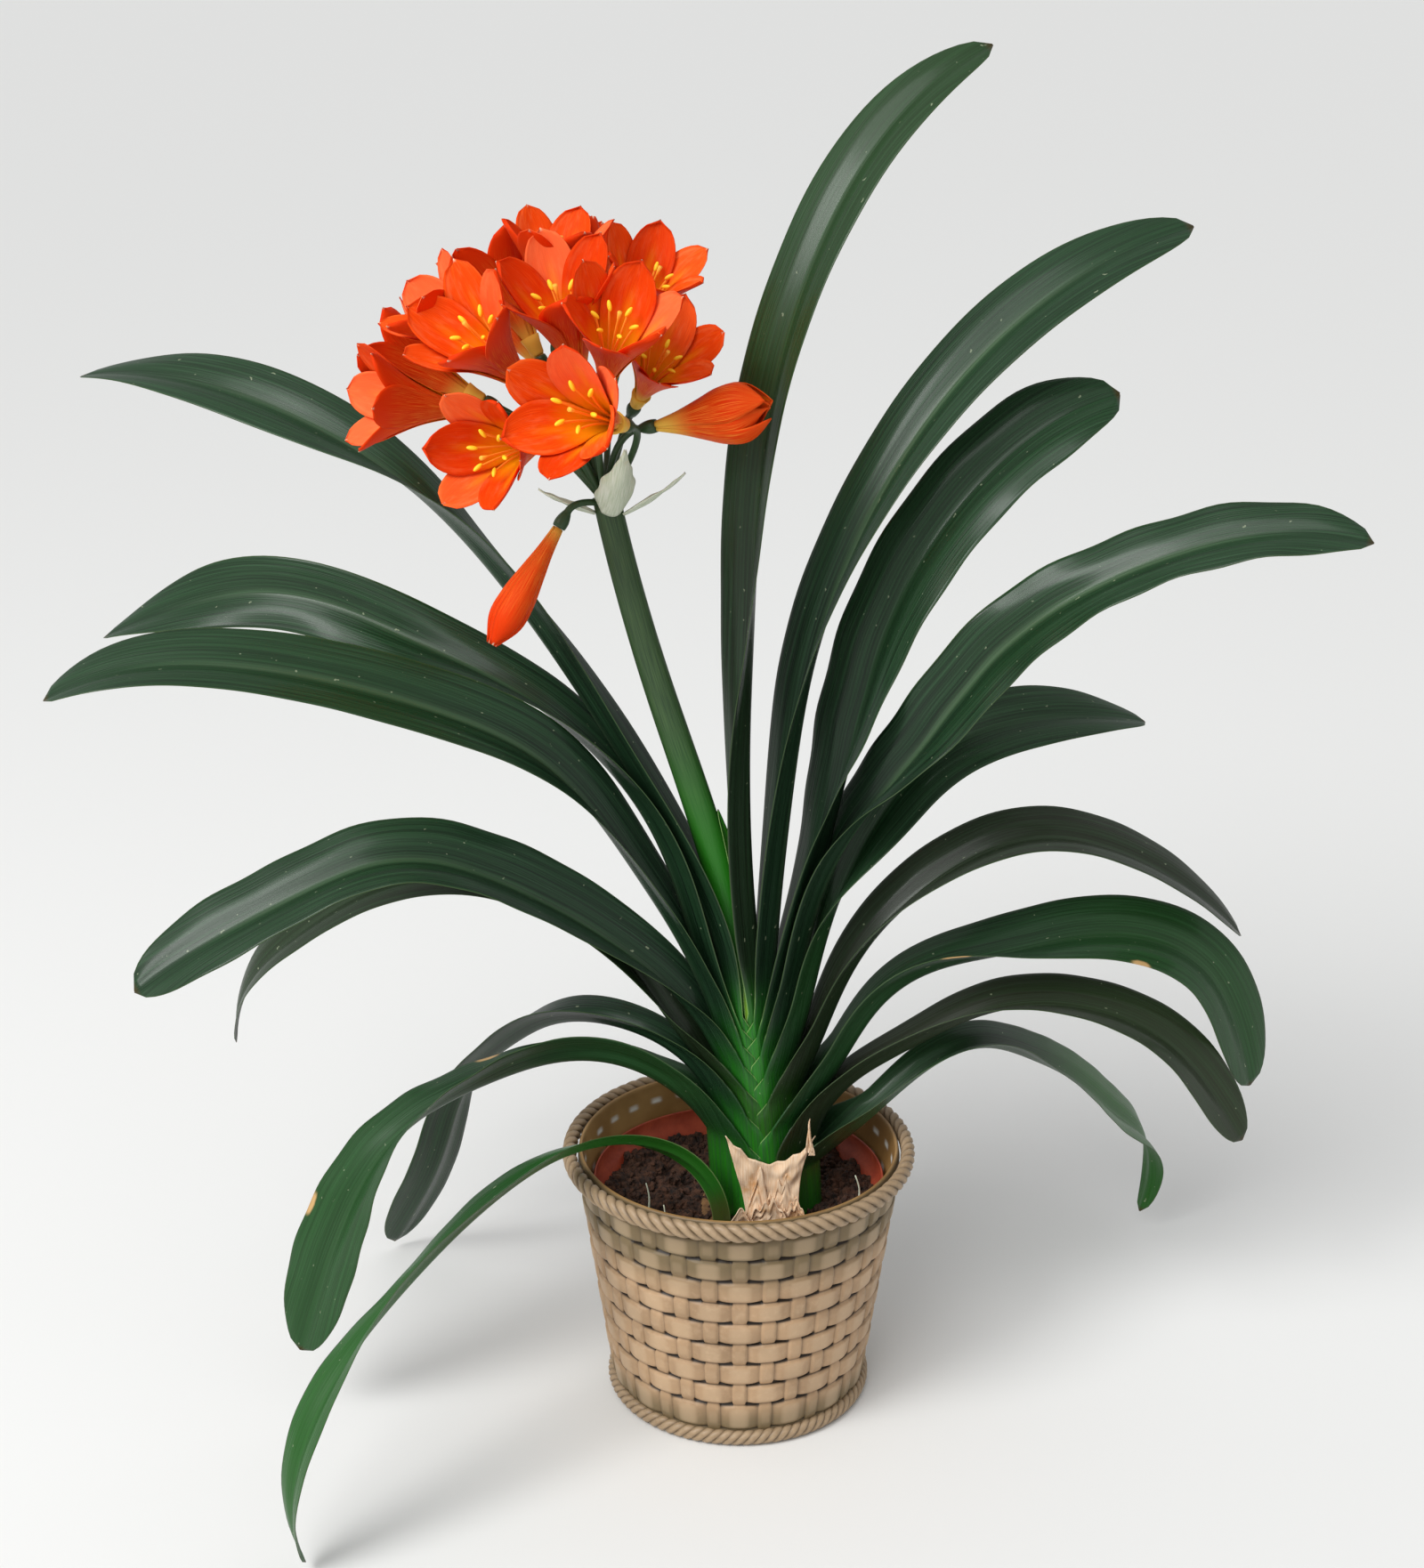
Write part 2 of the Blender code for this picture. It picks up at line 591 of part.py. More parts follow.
def tube(path, radii, sides, flatness=1, upright=False):
    """A closed tube along a path, with an oval section where flatness is under 1.

    An upright one has a level foot.
    """
    rings = []
    for k, (point, radius) in enumerate(zip(path, radii)):
        before, after = path[max(k - 1, 0)], path[min(k + 1, len(path) - 1)]
        ahead = (Vector(after) - Vector(before)).normalized()
        if upright and k == 0:
            ahead = Vector((0, 0, 1))
        side = ahead.cross(Vector((0, 1, 0)))
        side = side.normalized() if side.length > 0.2 else ahead.orthogonal().normalized()
        deep = ahead.cross(side)
        ring = []
        for n in range(sides):
            a = math.tau * n / sides
            ring.append(Vector(point) + side * radius * math.cos(a) + deep * radius * flatness * math.sin(a))
        rings.append(ring)
    return stack_rings(Vector(path[0]), rings, Vector(path[-1]))


def merge_slivers(mesh):
    """Joins points closer than the sliver size and leaves only triangles."""
    shell = bmesh.new()
    shell.from_mesh(mesh)
    bmesh.ops.remove_doubles(shell, verts=shell.verts, dist=SLIVER)
    bmesh.ops.dissolve_degenerate(shell, dist=SLIVER, edges=shell.edges)
    bmesh.ops.triangulate(shell, faces=shell.faces)
    shell.to_mesh(mesh)
    shell.free()


def union(name, bodies, material, solver="EXACT"):
    """One body made of overlapping ones by a Boolean on a collection, which is then removed."""
    first = add_object(name, *bodies[0], material)
    extra = bpy.data.collections.new(name + "_bodies")
    bpy.context.scene.collection.children.link(extra)
    for k, body in enumerate(bodies[1:]):
        other = add_object(f"{name}_body_{k}", *body, material)
        bpy.context.scene.collection.objects.unlink(other)
        extra.objects.link(other)
    join = first.modifiers.new("union", "BOOLEAN")
    join.operation = "UNION"
    join.operand_type = "COLLECTION"
    join.collection = extra
    join.solver = solver
    graph = bpy.context.evaluated_depsgraph_get()
    mesh = bpy.data.meshes.new_from_object(first.evaluated_get(graph))
    first.modifiers.clear()
    first.data = mesh
    for other in list(extra.objects):
        bpy.data.objects.remove(other, do_unlink=True)
    bpy.data.collections.remove(extra)
    return first


def stalk_path():
    fine = np.linspace(0, 1, 401)
    climb = np.radians(along(STALK_CLIMB, fine))
    turn = np.radians(180 + (STALK_HEADING - 180) * ease(fine))
    ahead = np.stack([np.cos(climb) * np.cos(turn), np.cos(climb) * np.sin(turn), np.sin(climb)], 1)
    steps = (ahead[1:] + ahead[:-1]) / 2 * STALK_LENGTH / 400
    path = np.concatenate([[STALK_FOOT], STALK_FOOT + np.cumsum(steps, axis=0)])
    return path[[int(round(400 * k / (len(STALK_HALF_WIDTHS) - 1))) for k in range(len(STALK_HALF_WIDTHS))]]


def floret_base(floret):
    return Vector(UMBEL_JOINT) + Vector(floret.base) * 0.001


def pedicel_body(floret):
    """A green stalklet from the joint, which ends in the ovary that the floret stands on."""
    facing = direction(floret.azimuth, floret.climb)
    top = floret_base(floret) - facing * GAP
    joint = Vector(UMBEL_JOINT) - Vector((0, 0, 0.004))
    neck = top - facing * OVARY_LENGTH
    bend = neck - facing * 0.35 * (neck - joint).length
    path = [joint.lerp(bend, t).lerp(bend.lerp(neck, t), t) for t in (0, 0.5, 1)]
    path += [top - facing * OVARY_LENGTH * 0.45, top]
    return tube(path, (0.6 * PEDICEL_RADIUS, PEDICEL_RADIUS, PEDICEL_RADIUS, OVARY_RADIUS, 0.0028), 4)


def make_stalk(material):
    """The flattened flower stalk with all its pedicels and ovaries, one green body."""
    stalk = tube([Vector(p) for p in stalk_path()], STALK_HALF_WIDTHS, STALK_SIDES, STALK_FLATNESS, True)
    return union("flower_stalk", [stalk] + [pedicel_body(f) for f in FLORETS], material)


def petal_body(turn, outer):
    """One petal as a thin blade that wraps round the floret's axis, which is Z in its own frame."""
    step = PETAL_LENGTH / (len(PETAL_FLARE) - 1)
    out, up = PETAL_FOOT[0] + (WHORL_STEP if outer else 0), PETAL_FOOT[1]
    thick = PETAL_THICKNESS / 2
    rings = []
    for k, (flare, half) in enumerate(zip(PETAL_FLARE, PETAL_HALF_WIDTHS)):
        if k:
            middle = math.radians((flare + PETAL_FLARE[k - 1]) / 2)
            out += step * math.sin(middle)
            up += step * math.cos(middle)
        width = half * (OUTER_WIDTH if outer else 1)
        wrap = min(width / out, math.radians(PETAL_WRAP))
        side, edge = out * math.sin(wrap), out * math.cos(wrap)
        slope_out, slope_up = thick * math.cos(math.radians(flare)), thick * math.sin(math.radians(flare))
        rings.append([
            (edge, side, up),
            (out - slope_out, 0, up + slope_up),
            (edge, -side, up),
            (out + slope_out, 0, up - slope_up),
        ])
    return turned(close_ends(rings), turn)


def close_ends(rings):
    """A closed body from rings of four points, with two triangles at each end."""
    count = len(rings[0])
    points = [p for ring in rings for p in ring]
    faces = [(0, 1, 2), (0, 2, 3)]
    for k in range(len(rings) - 1):
        faces += ring_faces(k * count, (k + 1) * count, count)
    last = (len(rings) - 1) * count
    return points, faces + [(last, last + 2, last + 1), (last, last + 3, last + 2)]


def turned(body, degrees):
    points, faces = body
    c, s = math.cos(math.radians(degrees)), math.sin(math.radians(degrees))
    return [(c * x - s * y, s * x + c * y, z) for x, y, z in points], faces


def stamen_body(turn, length, lean):
    """A thin filament that leans out from the throat and widens into an anther."""
    path = [Vector((lean * z, 0, z)) for z in (0.006, length - 0.003)]
    points, faces = tube(path, (0.0006, 0.0013), 3)
    points[-1] = Vector((lean * length, 0, length))
    return turned((points, faces), turn)


def tube_body():
    rings = [level_ring(TUBE_RADII[0], 0, 6), level_ring(TUBE_RADII[1], TUBE_LENGTH, 6)]
    return stack_rings((0, 0, 0), rings, (0, 0, TUBE_LENGTH))


def open_floret(material):
    bodies = [tube_body()]
    bodies += [petal_body(60 * k, k % 2 == 0) for k in range(6)]
    for k in range(STAMEN_COUNT):
        bodies.append(stamen_body(360 * k / STAMEN_COUNT + 30, STAMEN_LENGTH, STAMEN_LEAN))
    bodies.append(stamen_body(90, STYLE_LENGTH, STYLE_LEAN))
    floret = union("open_floret", bodies, material, "MANIFOLD")
    merge_slivers(floret.data)
    return floret


def bud_body(radii, length):
    """A closed bud: petals folded together show as six ridges."""
    rings = []
    for k, radius in enumerate(radii):
        ring = []
        for n in range(12):
            angle = math.tau * n / 12
            ridge = radius * (1 if n % 2 == 0 else 0.88)
            ring.append((ridge * math.cos(angle), ridge * math.sin(angle), length * k / len(radii)))
        rings.append(ring)
    return stack_rings((0, 0, 0), rings, (0, 0, length))


CLOSED_BUD = (0.0030, 0.0052, 0.0080, 0.0092, 0.0066)
HALF_OPEN_BUD = (0.0030, 0.0055, 0.0090, 0.0125, 0.0130)


def make_florets(material):
    """Every floret is a copy of one of three forms, turned to face its own way."""
    forms = {
        "open": open_floret(material),
        "half_open": add_object("half_open_form", *bud_body(HALF_OPEN_BUD, 0.060), material),
        "closed": add_object("closed_form", *bud_body(CLOSED_BUD, 0.066), material),
    }
    for k, floret in enumerate(FLORETS):
        obj = bpy.data.objects.new(floret.name, forms[floret.form].data)
        bpy.context.scene.collection.objects.link(obj)
        obj.location = floret_base(floret)
        facing = direction(floret.azimuth, floret.climb)
        obj.rotation_euler = facing.to_track_quat("Z", "Y").to_euler()
    for form in forms.values():
        bpy.data.objects.remove(form, do_unlink=True)


def make_bract(name, azimuth, climb, length, width, reach, material):
    """A narrow papery blade that leans away from just under the umbel's joint."""
    facing = direction(azimuth, climb)
    across = facing.cross(Vector((0, 0, 1))).normalized()
    over = across.cross(facing)
    start = Vector(BRACT_FOOT) + direction(azimuth, 0) * reach
    rings = []
    for share, half in ((0, 0.35), (0.35, 0.5), (0.7, 0.4), (1, 0.08)):
        middle = start + facing * length * share + over * length * 0.2 * share**2
        rings.append([
            middle + across * width * half + over * width * half * 0.3,
            middle + over * 0.0004,
            middle - across * width * half + over * width * half * 0.3,
            middle - over * 0.0004,
        ])
    points, faces = close_ends(rings)
    return add_object(name, points, faces, material)


def main():
    clear_scene()
    make_cachepot(finish("woven_plastic", (0.42, 0.26, 0.14), 0.5))
    make_nursery_pot(finish("terracotta_plastic", (0.35, 0.08, 0.04), 0.5))
    make_soil(finish("peat", (0.03, 0.018, 0.012), 0.95))
    make_crown(finish("old_stem", (0.20, 0.12, 0.06), 0.9))
    make_dry_sheath(finish("dry_leaf", (0.62, 0.44, 0.26), 0.8))
    leaf_green = finish("leaf_green", (0.012, 0.06, 0.022), 0.35)
    for leaf in LEAVES:
        make_leaf(leaf, leaf_green)
    make_stalk(finish("stalk_green", (0.03, 0.14, 0.02), 0.4))
    make_florets(finish("petal_orange", (0.85, 0.09, 0.02), 0.45))
    papery = finish("papery_bract", (0.60, 0.60, 0.52), 0.8)
    for bract in BRACTS:
        make_bract(*bract, papery)


main()
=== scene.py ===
# %% [markdown]
# # A potted clivia
#
# The plant is a fan of strap leaves that stand in two ranks, with a flattened stalk in their heart
# and a round head of orange funnel flowers on top. It grows in a thin nursery pot, which stands in
# a cachepot moulded to look like a basket. The solids of the frame fix where everything is. This
# script dresses them: each piece is built again, finer, on the same lines.

# %% The frame
import math
from collections import namedtuple

import bpy
import numpy as np
from mathutils import Matrix, Vector


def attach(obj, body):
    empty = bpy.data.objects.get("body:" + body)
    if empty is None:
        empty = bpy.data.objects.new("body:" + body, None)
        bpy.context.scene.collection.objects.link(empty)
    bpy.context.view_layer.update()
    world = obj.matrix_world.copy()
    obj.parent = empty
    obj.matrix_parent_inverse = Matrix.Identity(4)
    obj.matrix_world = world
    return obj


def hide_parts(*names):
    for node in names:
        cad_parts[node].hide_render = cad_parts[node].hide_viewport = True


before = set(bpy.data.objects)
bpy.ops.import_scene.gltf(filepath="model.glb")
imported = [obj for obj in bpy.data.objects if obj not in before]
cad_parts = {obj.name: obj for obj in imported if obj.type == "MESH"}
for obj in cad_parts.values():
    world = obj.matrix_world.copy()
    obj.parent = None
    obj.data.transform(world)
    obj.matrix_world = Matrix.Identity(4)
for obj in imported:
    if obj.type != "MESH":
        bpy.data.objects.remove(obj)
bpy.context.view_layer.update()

# %% [markdown]
# ## Writing node trees as sums
#
# A finish such as "darker in the grooves, paler at the edge" is arithmetic on numbers that change
# over a surface. Wrapping a socket in a small class lets Python's own operators add the Math nodes,
# so a finish reads as the sum that it is. The same class serves shaders and Geometry Nodes.

# %% A socket that can be added and multiplied
class Amount:
    """A socket of a node tree. Sums with it add Math nodes."""

    def __init__(self, tree, socket):
        self.tree = tree
        self.socket = socket

    def maths(self, operation, *values):
        return self.tree.node("ShaderNodeMath", {"operation": operation}, dict(enumerate(values)))

    def __add__(self, other):
        return self.maths("ADD", self, other)

    def __radd__(self, other):
        return self.maths("ADD", other, self)

    def __sub__(self, other):
        return self.maths("SUBTRACT", self, other)

    def __rsub__(self, other):
        return self.maths("SUBTRACT", other, self)

    def __mul__(self, other):
        return self.maths("MULTIPLY", self, other)

    def __rmul__(self, other):
        return self.maths("MULTIPLY", other, self)

    def __truediv__(self, other):
        return self.maths("DIVIDE", self, other)

    def __rtruediv__(self, other):
        return self.maths("DIVIDE", other, self)

    def size(self):
        return self.maths("ABSOLUTE", self)

    def whole(self):
        return self.maths("FLOOR", self)

    def cosine(self):
        return self.maths("COSINE", self)

    def sine(self):
        return self.maths("SINE", self)

    def larger(self, other):
        return self.maths("MAXIMUM", self, other)

    def root(self):
        return self.maths("SQRT", self)

    def eased(self, low, high):
        """0 where the amount is at low, 1 where it is at high, smooth between them."""
        sockets = {"Value": self, "From Min": low, "From Max": high}
        return self.tree.node("ShaderNodeMapRange", {"interpolation_type": "SMOOTHSTEP"}, sockets)


def fill(socket, value):
    """Links a socket, or sets its value."""
    if isinstance(value, Amount):
        value.tree.links.new(value.socket, socket)
    elif socket.type == "RGBA" and len(value) == 3:
        socket.default_value = (*value, 1)
    else:
        socket.default_value = value


class Tree:
    """A node tree with one method that makes any node."""

    def __init__(self, tree):
        self.nodes = tree.nodes
        self.links = tree.links

    def node(self, kind, settings=None, sockets=None, output=0):
        made = self.nodes.new(kind)
        for name, value in (settings or {}).items():
            setattr(made, name, value)
        for name, value in (sockets or {}).items():
            fill(made.inputs[name], value)
        return Amount(self, made.outputs[output])


print("sums of sockets are ready")

# %% [markdown]
# ## Finishes
#
# Each finish is one Principled shader. What is the same all over is set straight on its sockets.
# What changes over the surface comes from three sources: the piece's own flat map, which runs
# along and across a leaf or a petal, numbers kept on its points, and noise stretched along it.

# %% A finish and what it is mixed from
def srgb(red, green, blue):
    """A colour in the shader's own scale, from the numbers of a paint picker."""
    shares = (value / 255 for value in (red, green, blue))
    return tuple(v / 12.92 if v <= 0.04045 else ((v + 0.055) / 1.055) ** 2.4 for v in shares)


class Finish(Tree):
    """A material and the nodes that vary it."""

    def __init__(self, name, **constants):
        self.material = bpy.data.materials.new(name)
        self.material.use_nodes = True
        super().__init__(self.material.node_tree)
        self.shader = self.nodes["Principled BSDF"]
        for socket, value in constants.items():
            self.shader.inputs[socket.replace("_", " ")].default_value = value

    def number(self, name):
        """A number kept on the piece's points."""
        return self.node("ShaderNodeAttribute", {"attribute_name": name}, output="Fac")

    def flat_map(self, across, lengthwise):
        """The piece's flat map, stretched."""
        sockets = {0: self.node("ShaderNodeUVMap", {"uv_map": "flat"}), 1: (across, lengthwise, 1)}
        return self.node("ShaderNodeVectorMath", {"operation": "MULTIPLY"}, sockets)

    def place(self):
        return self.node("ShaderNodeTexCoord", output="Object")

    def noise(self, at, scale, detail=3.0, roughness=0.5):
        sockets = {"Vector": at, "Scale": scale, "Detail": detail, "Roughness": roughness}
        return self.node("ShaderNodeTexNoise", sockets=sockets)

    def mix(self, share, first, second):
        return self.node("ShaderNodeMix", {"data_type": "RGBA"}, {0: share, 6: first, 7: second}, 2)

    def set(self, socket, value):
        fill(self.shader.inputs[socket], value)

    def bump(self, height, strength, distance):
        sockets = {"Height": height, "Strength": strength, "Distance": distance}
        self.set("Normal", self.node("ShaderNodeBump", sockets=sockets))


def told(material):
    print(f"{material.name}: {len(material.node_tree.nodes)} nodes")
    return material


print("a mid grey of 128 is", round(srgb(128, 128, 128)[0], 3), "in the shader's scale")

# %% [markdown]
# A clivia leaf is waxy and very dark green, with fine ribs along it. It pales to yellow-green
# where it is folded round the heart, and its margin is a thin pale line, which draws the herringbone
# at the foot of the fan. A photo of a leaf would fix its light and repeat on every leaf, so the
# colour is mixed from noise stretched along the blade instead. The numbers on the points say where:
# "pale" is how far a point has faded, "vivid" how fresh its green is near the foot and,
# further out, painted light where the blade turns to the light, "dark" how old the leaf is, "rib"
# the pale line along its middle, "margin" the way to the edge in millimetres, "scar" a dried nick
# in the edge and "tip" the brown end.

# %% Leaf finish
def leaf_finish():
    made = Finish("leaf_green", Specular_IOR_Level=0.22, Coat_Roughness=0.2)
    fine = made.noise(made.flat_map(2200, 14), 1.0, 2.0)
    stripe = made.noise(made.flat_map(1000, 8), 1.0, 2.0)
    band = made.noise(made.flat_map(230, 5), 1.0, 3.0)
    speck = made.noise(made.flat_map(260, 190), 1.0, 2.0)
    # The green itself, from old and dark to fresh, and the fading round the heart.
    green = made.mix(band.eased(0.3, 0.7), srgb(9, 28, 15), srgb(20, 45, 25))
    green = made.mix(made.number("pale").eased(0.02, 0.45) * (0.65 + 0.35 * band), green, srgb(38, 128, 22))
    green = made.mix(made.number("pale").eased(0.42, 0.95), green, srgb(150, 196, 28))
    # Ribs and stripes along the blade, then what sets one leaf apart from the next.
    green = made.mix(stripe.eased(0.44, 0.64) * 0.5, green, srgb(34, 66, 40))
    green = made.mix(fine.eased(0.5, 0.68) * 0.4, green, srgb(50, 82, 56))
    # A fresher green near the blade's foot, and painted light further out, where the blade turns to the
    # light.
    green = made.mix(made.number("vivid") * (0.6 + 0.4 * stripe), green, srgb(42, 112, 28))
    green = made.mix(made.number("dark"), green, srgb(40, 37, 16))
    # The rib, the margin and the marks of age.
    green = made.mix(made.number("rib") * 0.4, green, srgb(100, 128, 94))
    edge = 1 - made.number("margin").eased(0.2, 0.7)
    edge_colour = made.mix(made.number("pale").eased(0.02, 0.3), srgb(62, 84, 46), srgb(140, 176, 104))
    green = made.mix(edge * 0.75, green, edge_colour)
    green = made.mix(speck.eased(0.715, 0.75) * 0.6, green, srgb(150, 160, 130))
    green = made.mix(made.number("scar").eased(0.35, 0.7), green, srgb(196, 158, 104))
    green = made.mix(made.number("tip").eased(0.2, 1.0), green, srgb(70, 60, 30))
    made.set("Base Color", green)
    made.set("Roughness", 0.31 + 0.16 * stripe + 0.14 * fine)
    made.set("Coat Weight", 0.26 - 0.18 * made.number("pale"))
    made.bump(fine * 0.5 + stripe * 0.5, 0.5, 0.0010)
    return made.material


leaf_green = told(leaf_finish())

# %% [markdown]
# A petal is a soft orange-red that glows where light comes through it. Its throat is yellow, a
# yellow line runs up its middle, and the outside is streaked with yellow above the green tube. One
# finish serves both faces of a petal: the number "inside" says which face a point is on, "share"
# how far it is from foot to tip, "across" how far from the middle, and "tone" sets petals apart.

# %% Petal finish
def petal_finish():
    made = Finish("petal_orange", Subsurface_Weight=0.12, Subsurface_Scale=0.003,
                  Specular_IOR_Level=0.05)
    streak = made.noise(made.flat_map(16, 1.6), 3.0, 3.0)
    soft = made.noise(made.flat_map(2.2, 2.6), 2.0, 3.0)
    share = made.number("share")
    middle = 1 - made.number("across").eased(0.0, 0.30)
    red = made.mix(streak.eased(0.3, 0.7), srgb(232, 66, 8), srgb(255, 98, 22))
    red = made.mix(soft.eased(0.45, 0.75) * 0.6, red, srgb(255, 132, 74))
    red = made.mix(made.number("tone").eased(0.4, 1.0) * 0.5, red, srgb(255, 130, 84))
    red = made.mix((1 - made.number("tone")).eased(0.4, 1.0) * 0.55, red, srgb(196, 36, 4))
    line = middle * (1 - share.eased(0.45, 0.85)) * 0.55
    throat = (1 - (share + streak * 0.16).eased(0.36, 0.76)).larger(line)
    inner = made.mix(throat, red, srgb(255, 182, 16))
    streaked = streak.eased(0.45, 0.65) * (1 - share.eased(0.4, 0.95)) * 0.6
    outer = made.mix(streaked, srgb(220, 56, 8), srgb(252, 160, 60))
    outer = made.mix(1 - share.eased(0.04, 0.3), outer, srgb(230, 180, 76))
    colour = made.mix(made.number("inside"), outer, inner)
    colour = made.mix(made.number("tip").eased(0.3, 1.0), colour, srgb(250, 222, 190))
    made.set("Base Color", colour)
    made.set("Roughness", 0.46 + 0.12 * streak)
    made.bump(streak, 0.3, 0.0004)
    return made.material


petal_orange = told(petal_finish())

# %% [markdown]
# The rest of the plant is small in the picture, so its finishes are simple: two greens, or two
# browns, mixed by noise. Noise that is stretched by the flat map reads as fibres, and noise on
# Object coordinates reads as grain, which sits still on the piece when the camera moves.

# %% The small finishes of the plant
def stamen_finish():
    made = Finish("stamen_yellow", Subsurface_Weight=0.1, Subsurface_Scale=0.002)
    grain = made.noise(made.place(), 1800.0, 2.0)
    filament = made.mix(grain, srgb(255, 150, 30), srgb(255, 190, 70))
    anther = made.mix(grain, srgb(250, 196, 10), srgb(255, 228, 50))
    made.set("Base Color", made.mix(made.number("tip"), filament, anther))
    made.set("Roughness", 0.5 + 0.2 * grain)
    return made.material


def stalk_finish():
    """Bright green low down, duller and greyer towards the head, with dark ovaries."""
    made = Finish("stalk_green", Specular_IOR_Level=0.4)
    streak = made.noise(made.flat_map(420, 8), 5.0, 3.0)
    green = made.mix(streak.eased(0.3, 0.7), srgb(38, 62, 34), srgb(60, 86, 48))
    green = made.mix(made.number("pale").eased(0.0, 1.0), green, srgb(30, 116, 12))
    green = made.mix(made.number("tip"), green, srgb(40, 66, 34))
    made.set("Base Color", green)
    made.set("Roughness", 0.36 + 0.18 * streak)
    made.bump(streak, 0.3, 0.0005)
    return made.material


def papery_finish(name, light, dark, stain, crumple):
    """Thin dried tissue with fibres along it and stained patches."""
    made = Finish(name, Specular_IOR_Level=0.2)
    fibre = made.noise(made.flat_map(420, 26), 4.0, 4.0, 0.6)
    patch = made.noise(made.place(), 75.0, 4.0, 0.6)
    colour = made.mix(fibre.eased(0.25, 0.75), dark, light)
    colour = made.mix(patch.eased(0.52, 0.72) * 0.7, colour, stain)
    made.set("Base Color", colour)
    made.set("Roughness", 0.7 + 0.2 * fibre)
    made.bump(fibre + patch * 0.6, crumple, 0.0008)
    return made.material


def speckled_finish(name, first, second, scale, roughness, bump):
    """A plain finish in two tones of noise, for the nursery pot, the peat and the old stem."""
    made = Finish(name)
    grain = made.noise(made.place(), scale, 5.0, 0.65)
    made.set("Base Color", made.mix(grain.eased(0.3, 0.7), first, second))
    made.set("Roughness", roughness + 0.1 * grain)
    made.bump(grain, bump, 0.001)
    return made.material


stamen_yellow = told(stamen_finish())
stalk_green = told(stalk_finish())
BRACT_COLOURS = srgb(224, 228, 212), srgb(184, 196, 166), srgb(204, 198, 162)
DRY_COLOURS = srgb(246, 222, 194), srgb(216, 178, 138), srgb(206, 150, 84)
papery_bract = told(papery_finish("papery_bract", *BRACT_COLOURS, 0.5))
dry_leaf = told(papery_finish("dry_leaf", *DRY_COLOURS, 0.3))
PEAT_COLOURS = srgb(20, 11, 7), srgb(84, 53, 35)
STEM_COLOURS = srgb(96, 66, 40), srgb(146, 108, 66)
peat = told(speckled_finish("peat", *PEAT_COLOURS, 240.0, 0.85, 0.6))
old_stem = told(speckled_finish("old_stem", *STEM_COLOURS, 160.0, 0.8, 0.5))

# %% [markdown]
# The cachepot is moulded plastic with a brown wash rubbed into it in soft clouds. It turns darker
# olive towards the top and the bottom, the strands that stand proud are worn back to warm tan, and
# the slots are painted dark as shade. So its colour is driven by the relief itself: "relief" holds
# how far a point stands out, in millimetres, and "proud" does the same for the ropes. The thin pot
# inside is plain red-brown plastic.

# %% Pot finishes
def weave_finish():
    made = Finish("woven_plastic", Specular_IOR_Level=0.45)
    place = made.place()
    grain = made.noise(place, 260.0, 4.0, 0.6)
    cloud = made.noise(place, 34.0, 3.0)
    height = made.node("ShaderNodeSeparateXYZ", sockets={0: place}, output=2)
    # Darker olive towards the top and the bottom of the wall.
    ends = (1 - height.eased(0.006, 0.034)).larger(height.eased(0.086, 0.126))
    tan = made.mix(cloud.eased(0.3, 0.7), srgb(160, 130, 98), srgb(182, 149, 114))
    worn = made.mix(grain.eased(0.45, 0.8) * 0.4, tan, srgb(200, 170, 138))
    washed_and_shaded = made.mix((ends * 0.8 + cloud * 0.4).eased(0.25, 0.95), worn, srgb(118, 100, 70))
    proud = made.number("relief")
    washed_and_shaded = made.mix(proud.eased(1.2, 1.7) * 0.35, washed_and_shaded, srgb(214, 186, 152))
    # Painted shade: the deeper a point lies in the relief, the darker it is, so the slots and the strands'
    # dips under the stakes fall dark.
    washed_and_shaded = made.mix(1 - proud.eased(-1.1, 0.45), washed_and_shaded, srgb(44, 32, 20))
    inner = made.mix(cloud.eased(0.3, 0.75), srgb(140, 104, 56), srgb(178, 140, 86))
    # Painted light: pale spots on the inside where light would come through the slots between rows.
    inner = made.mix(made.number("hole"), inner, srgb(240, 240, 232))
    made.set("Base Color", made.mix(made.number("inside"), washed_and_shaded, inner))
    made.set("Roughness", 0.40 + 0.22 * grain)
    made.bump(grain * 0.5 + cloud * 0.5, 0.25, 0.0007)
    return made.material


def rope_finish():
    made = Finish("rope_plastic", Specular_IOR_Level=0.45)
    place = made.place()
    grain = made.noise(place, 320.0, 4.0, 0.6)
    cloud = made.noise(place, 40.0, 3.0)
    proud = made.number("proud").eased(0.1, 1.0)
    # Painted shade with the wash: the hollows between strands are dark, and the tops that stand proud are
    # rubbed pale.
    shaded_wash = made.mix(cloud, srgb(78, 62, 42), srgb(98, 80, 54))
    rub = made.mix(grain, srgb(136, 112, 84), srgb(186, 160, 128))
    made.set("Base Color", made.mix(proud, shaded_wash, rub))
    made.set("Roughness", 0.38 + 0.2 * grain)
    made.bump(grain, 0.3, 0.0006)
    return made.material


woven_plastic = told(weave_finish())
rope_plastic = told(rope_finish())
POT_COLOURS = srgb(148, 54, 32), srgb(176, 74, 46)
terracotta_plastic = told(speckled_finish("terracotta_plastic", *POT_COLOURS, 90.0, 0.4, 0.1))

# %% [markdown]
# ## Building meshes
#
# A leaf, a petal and a bract are all thin sheets: a grid of points on one face, a second face a little
# behind it, and a rim that closes the two. So one helper makes all of them from their grids, and
# another gathers several bodies into one piece with what the finishes need to know.

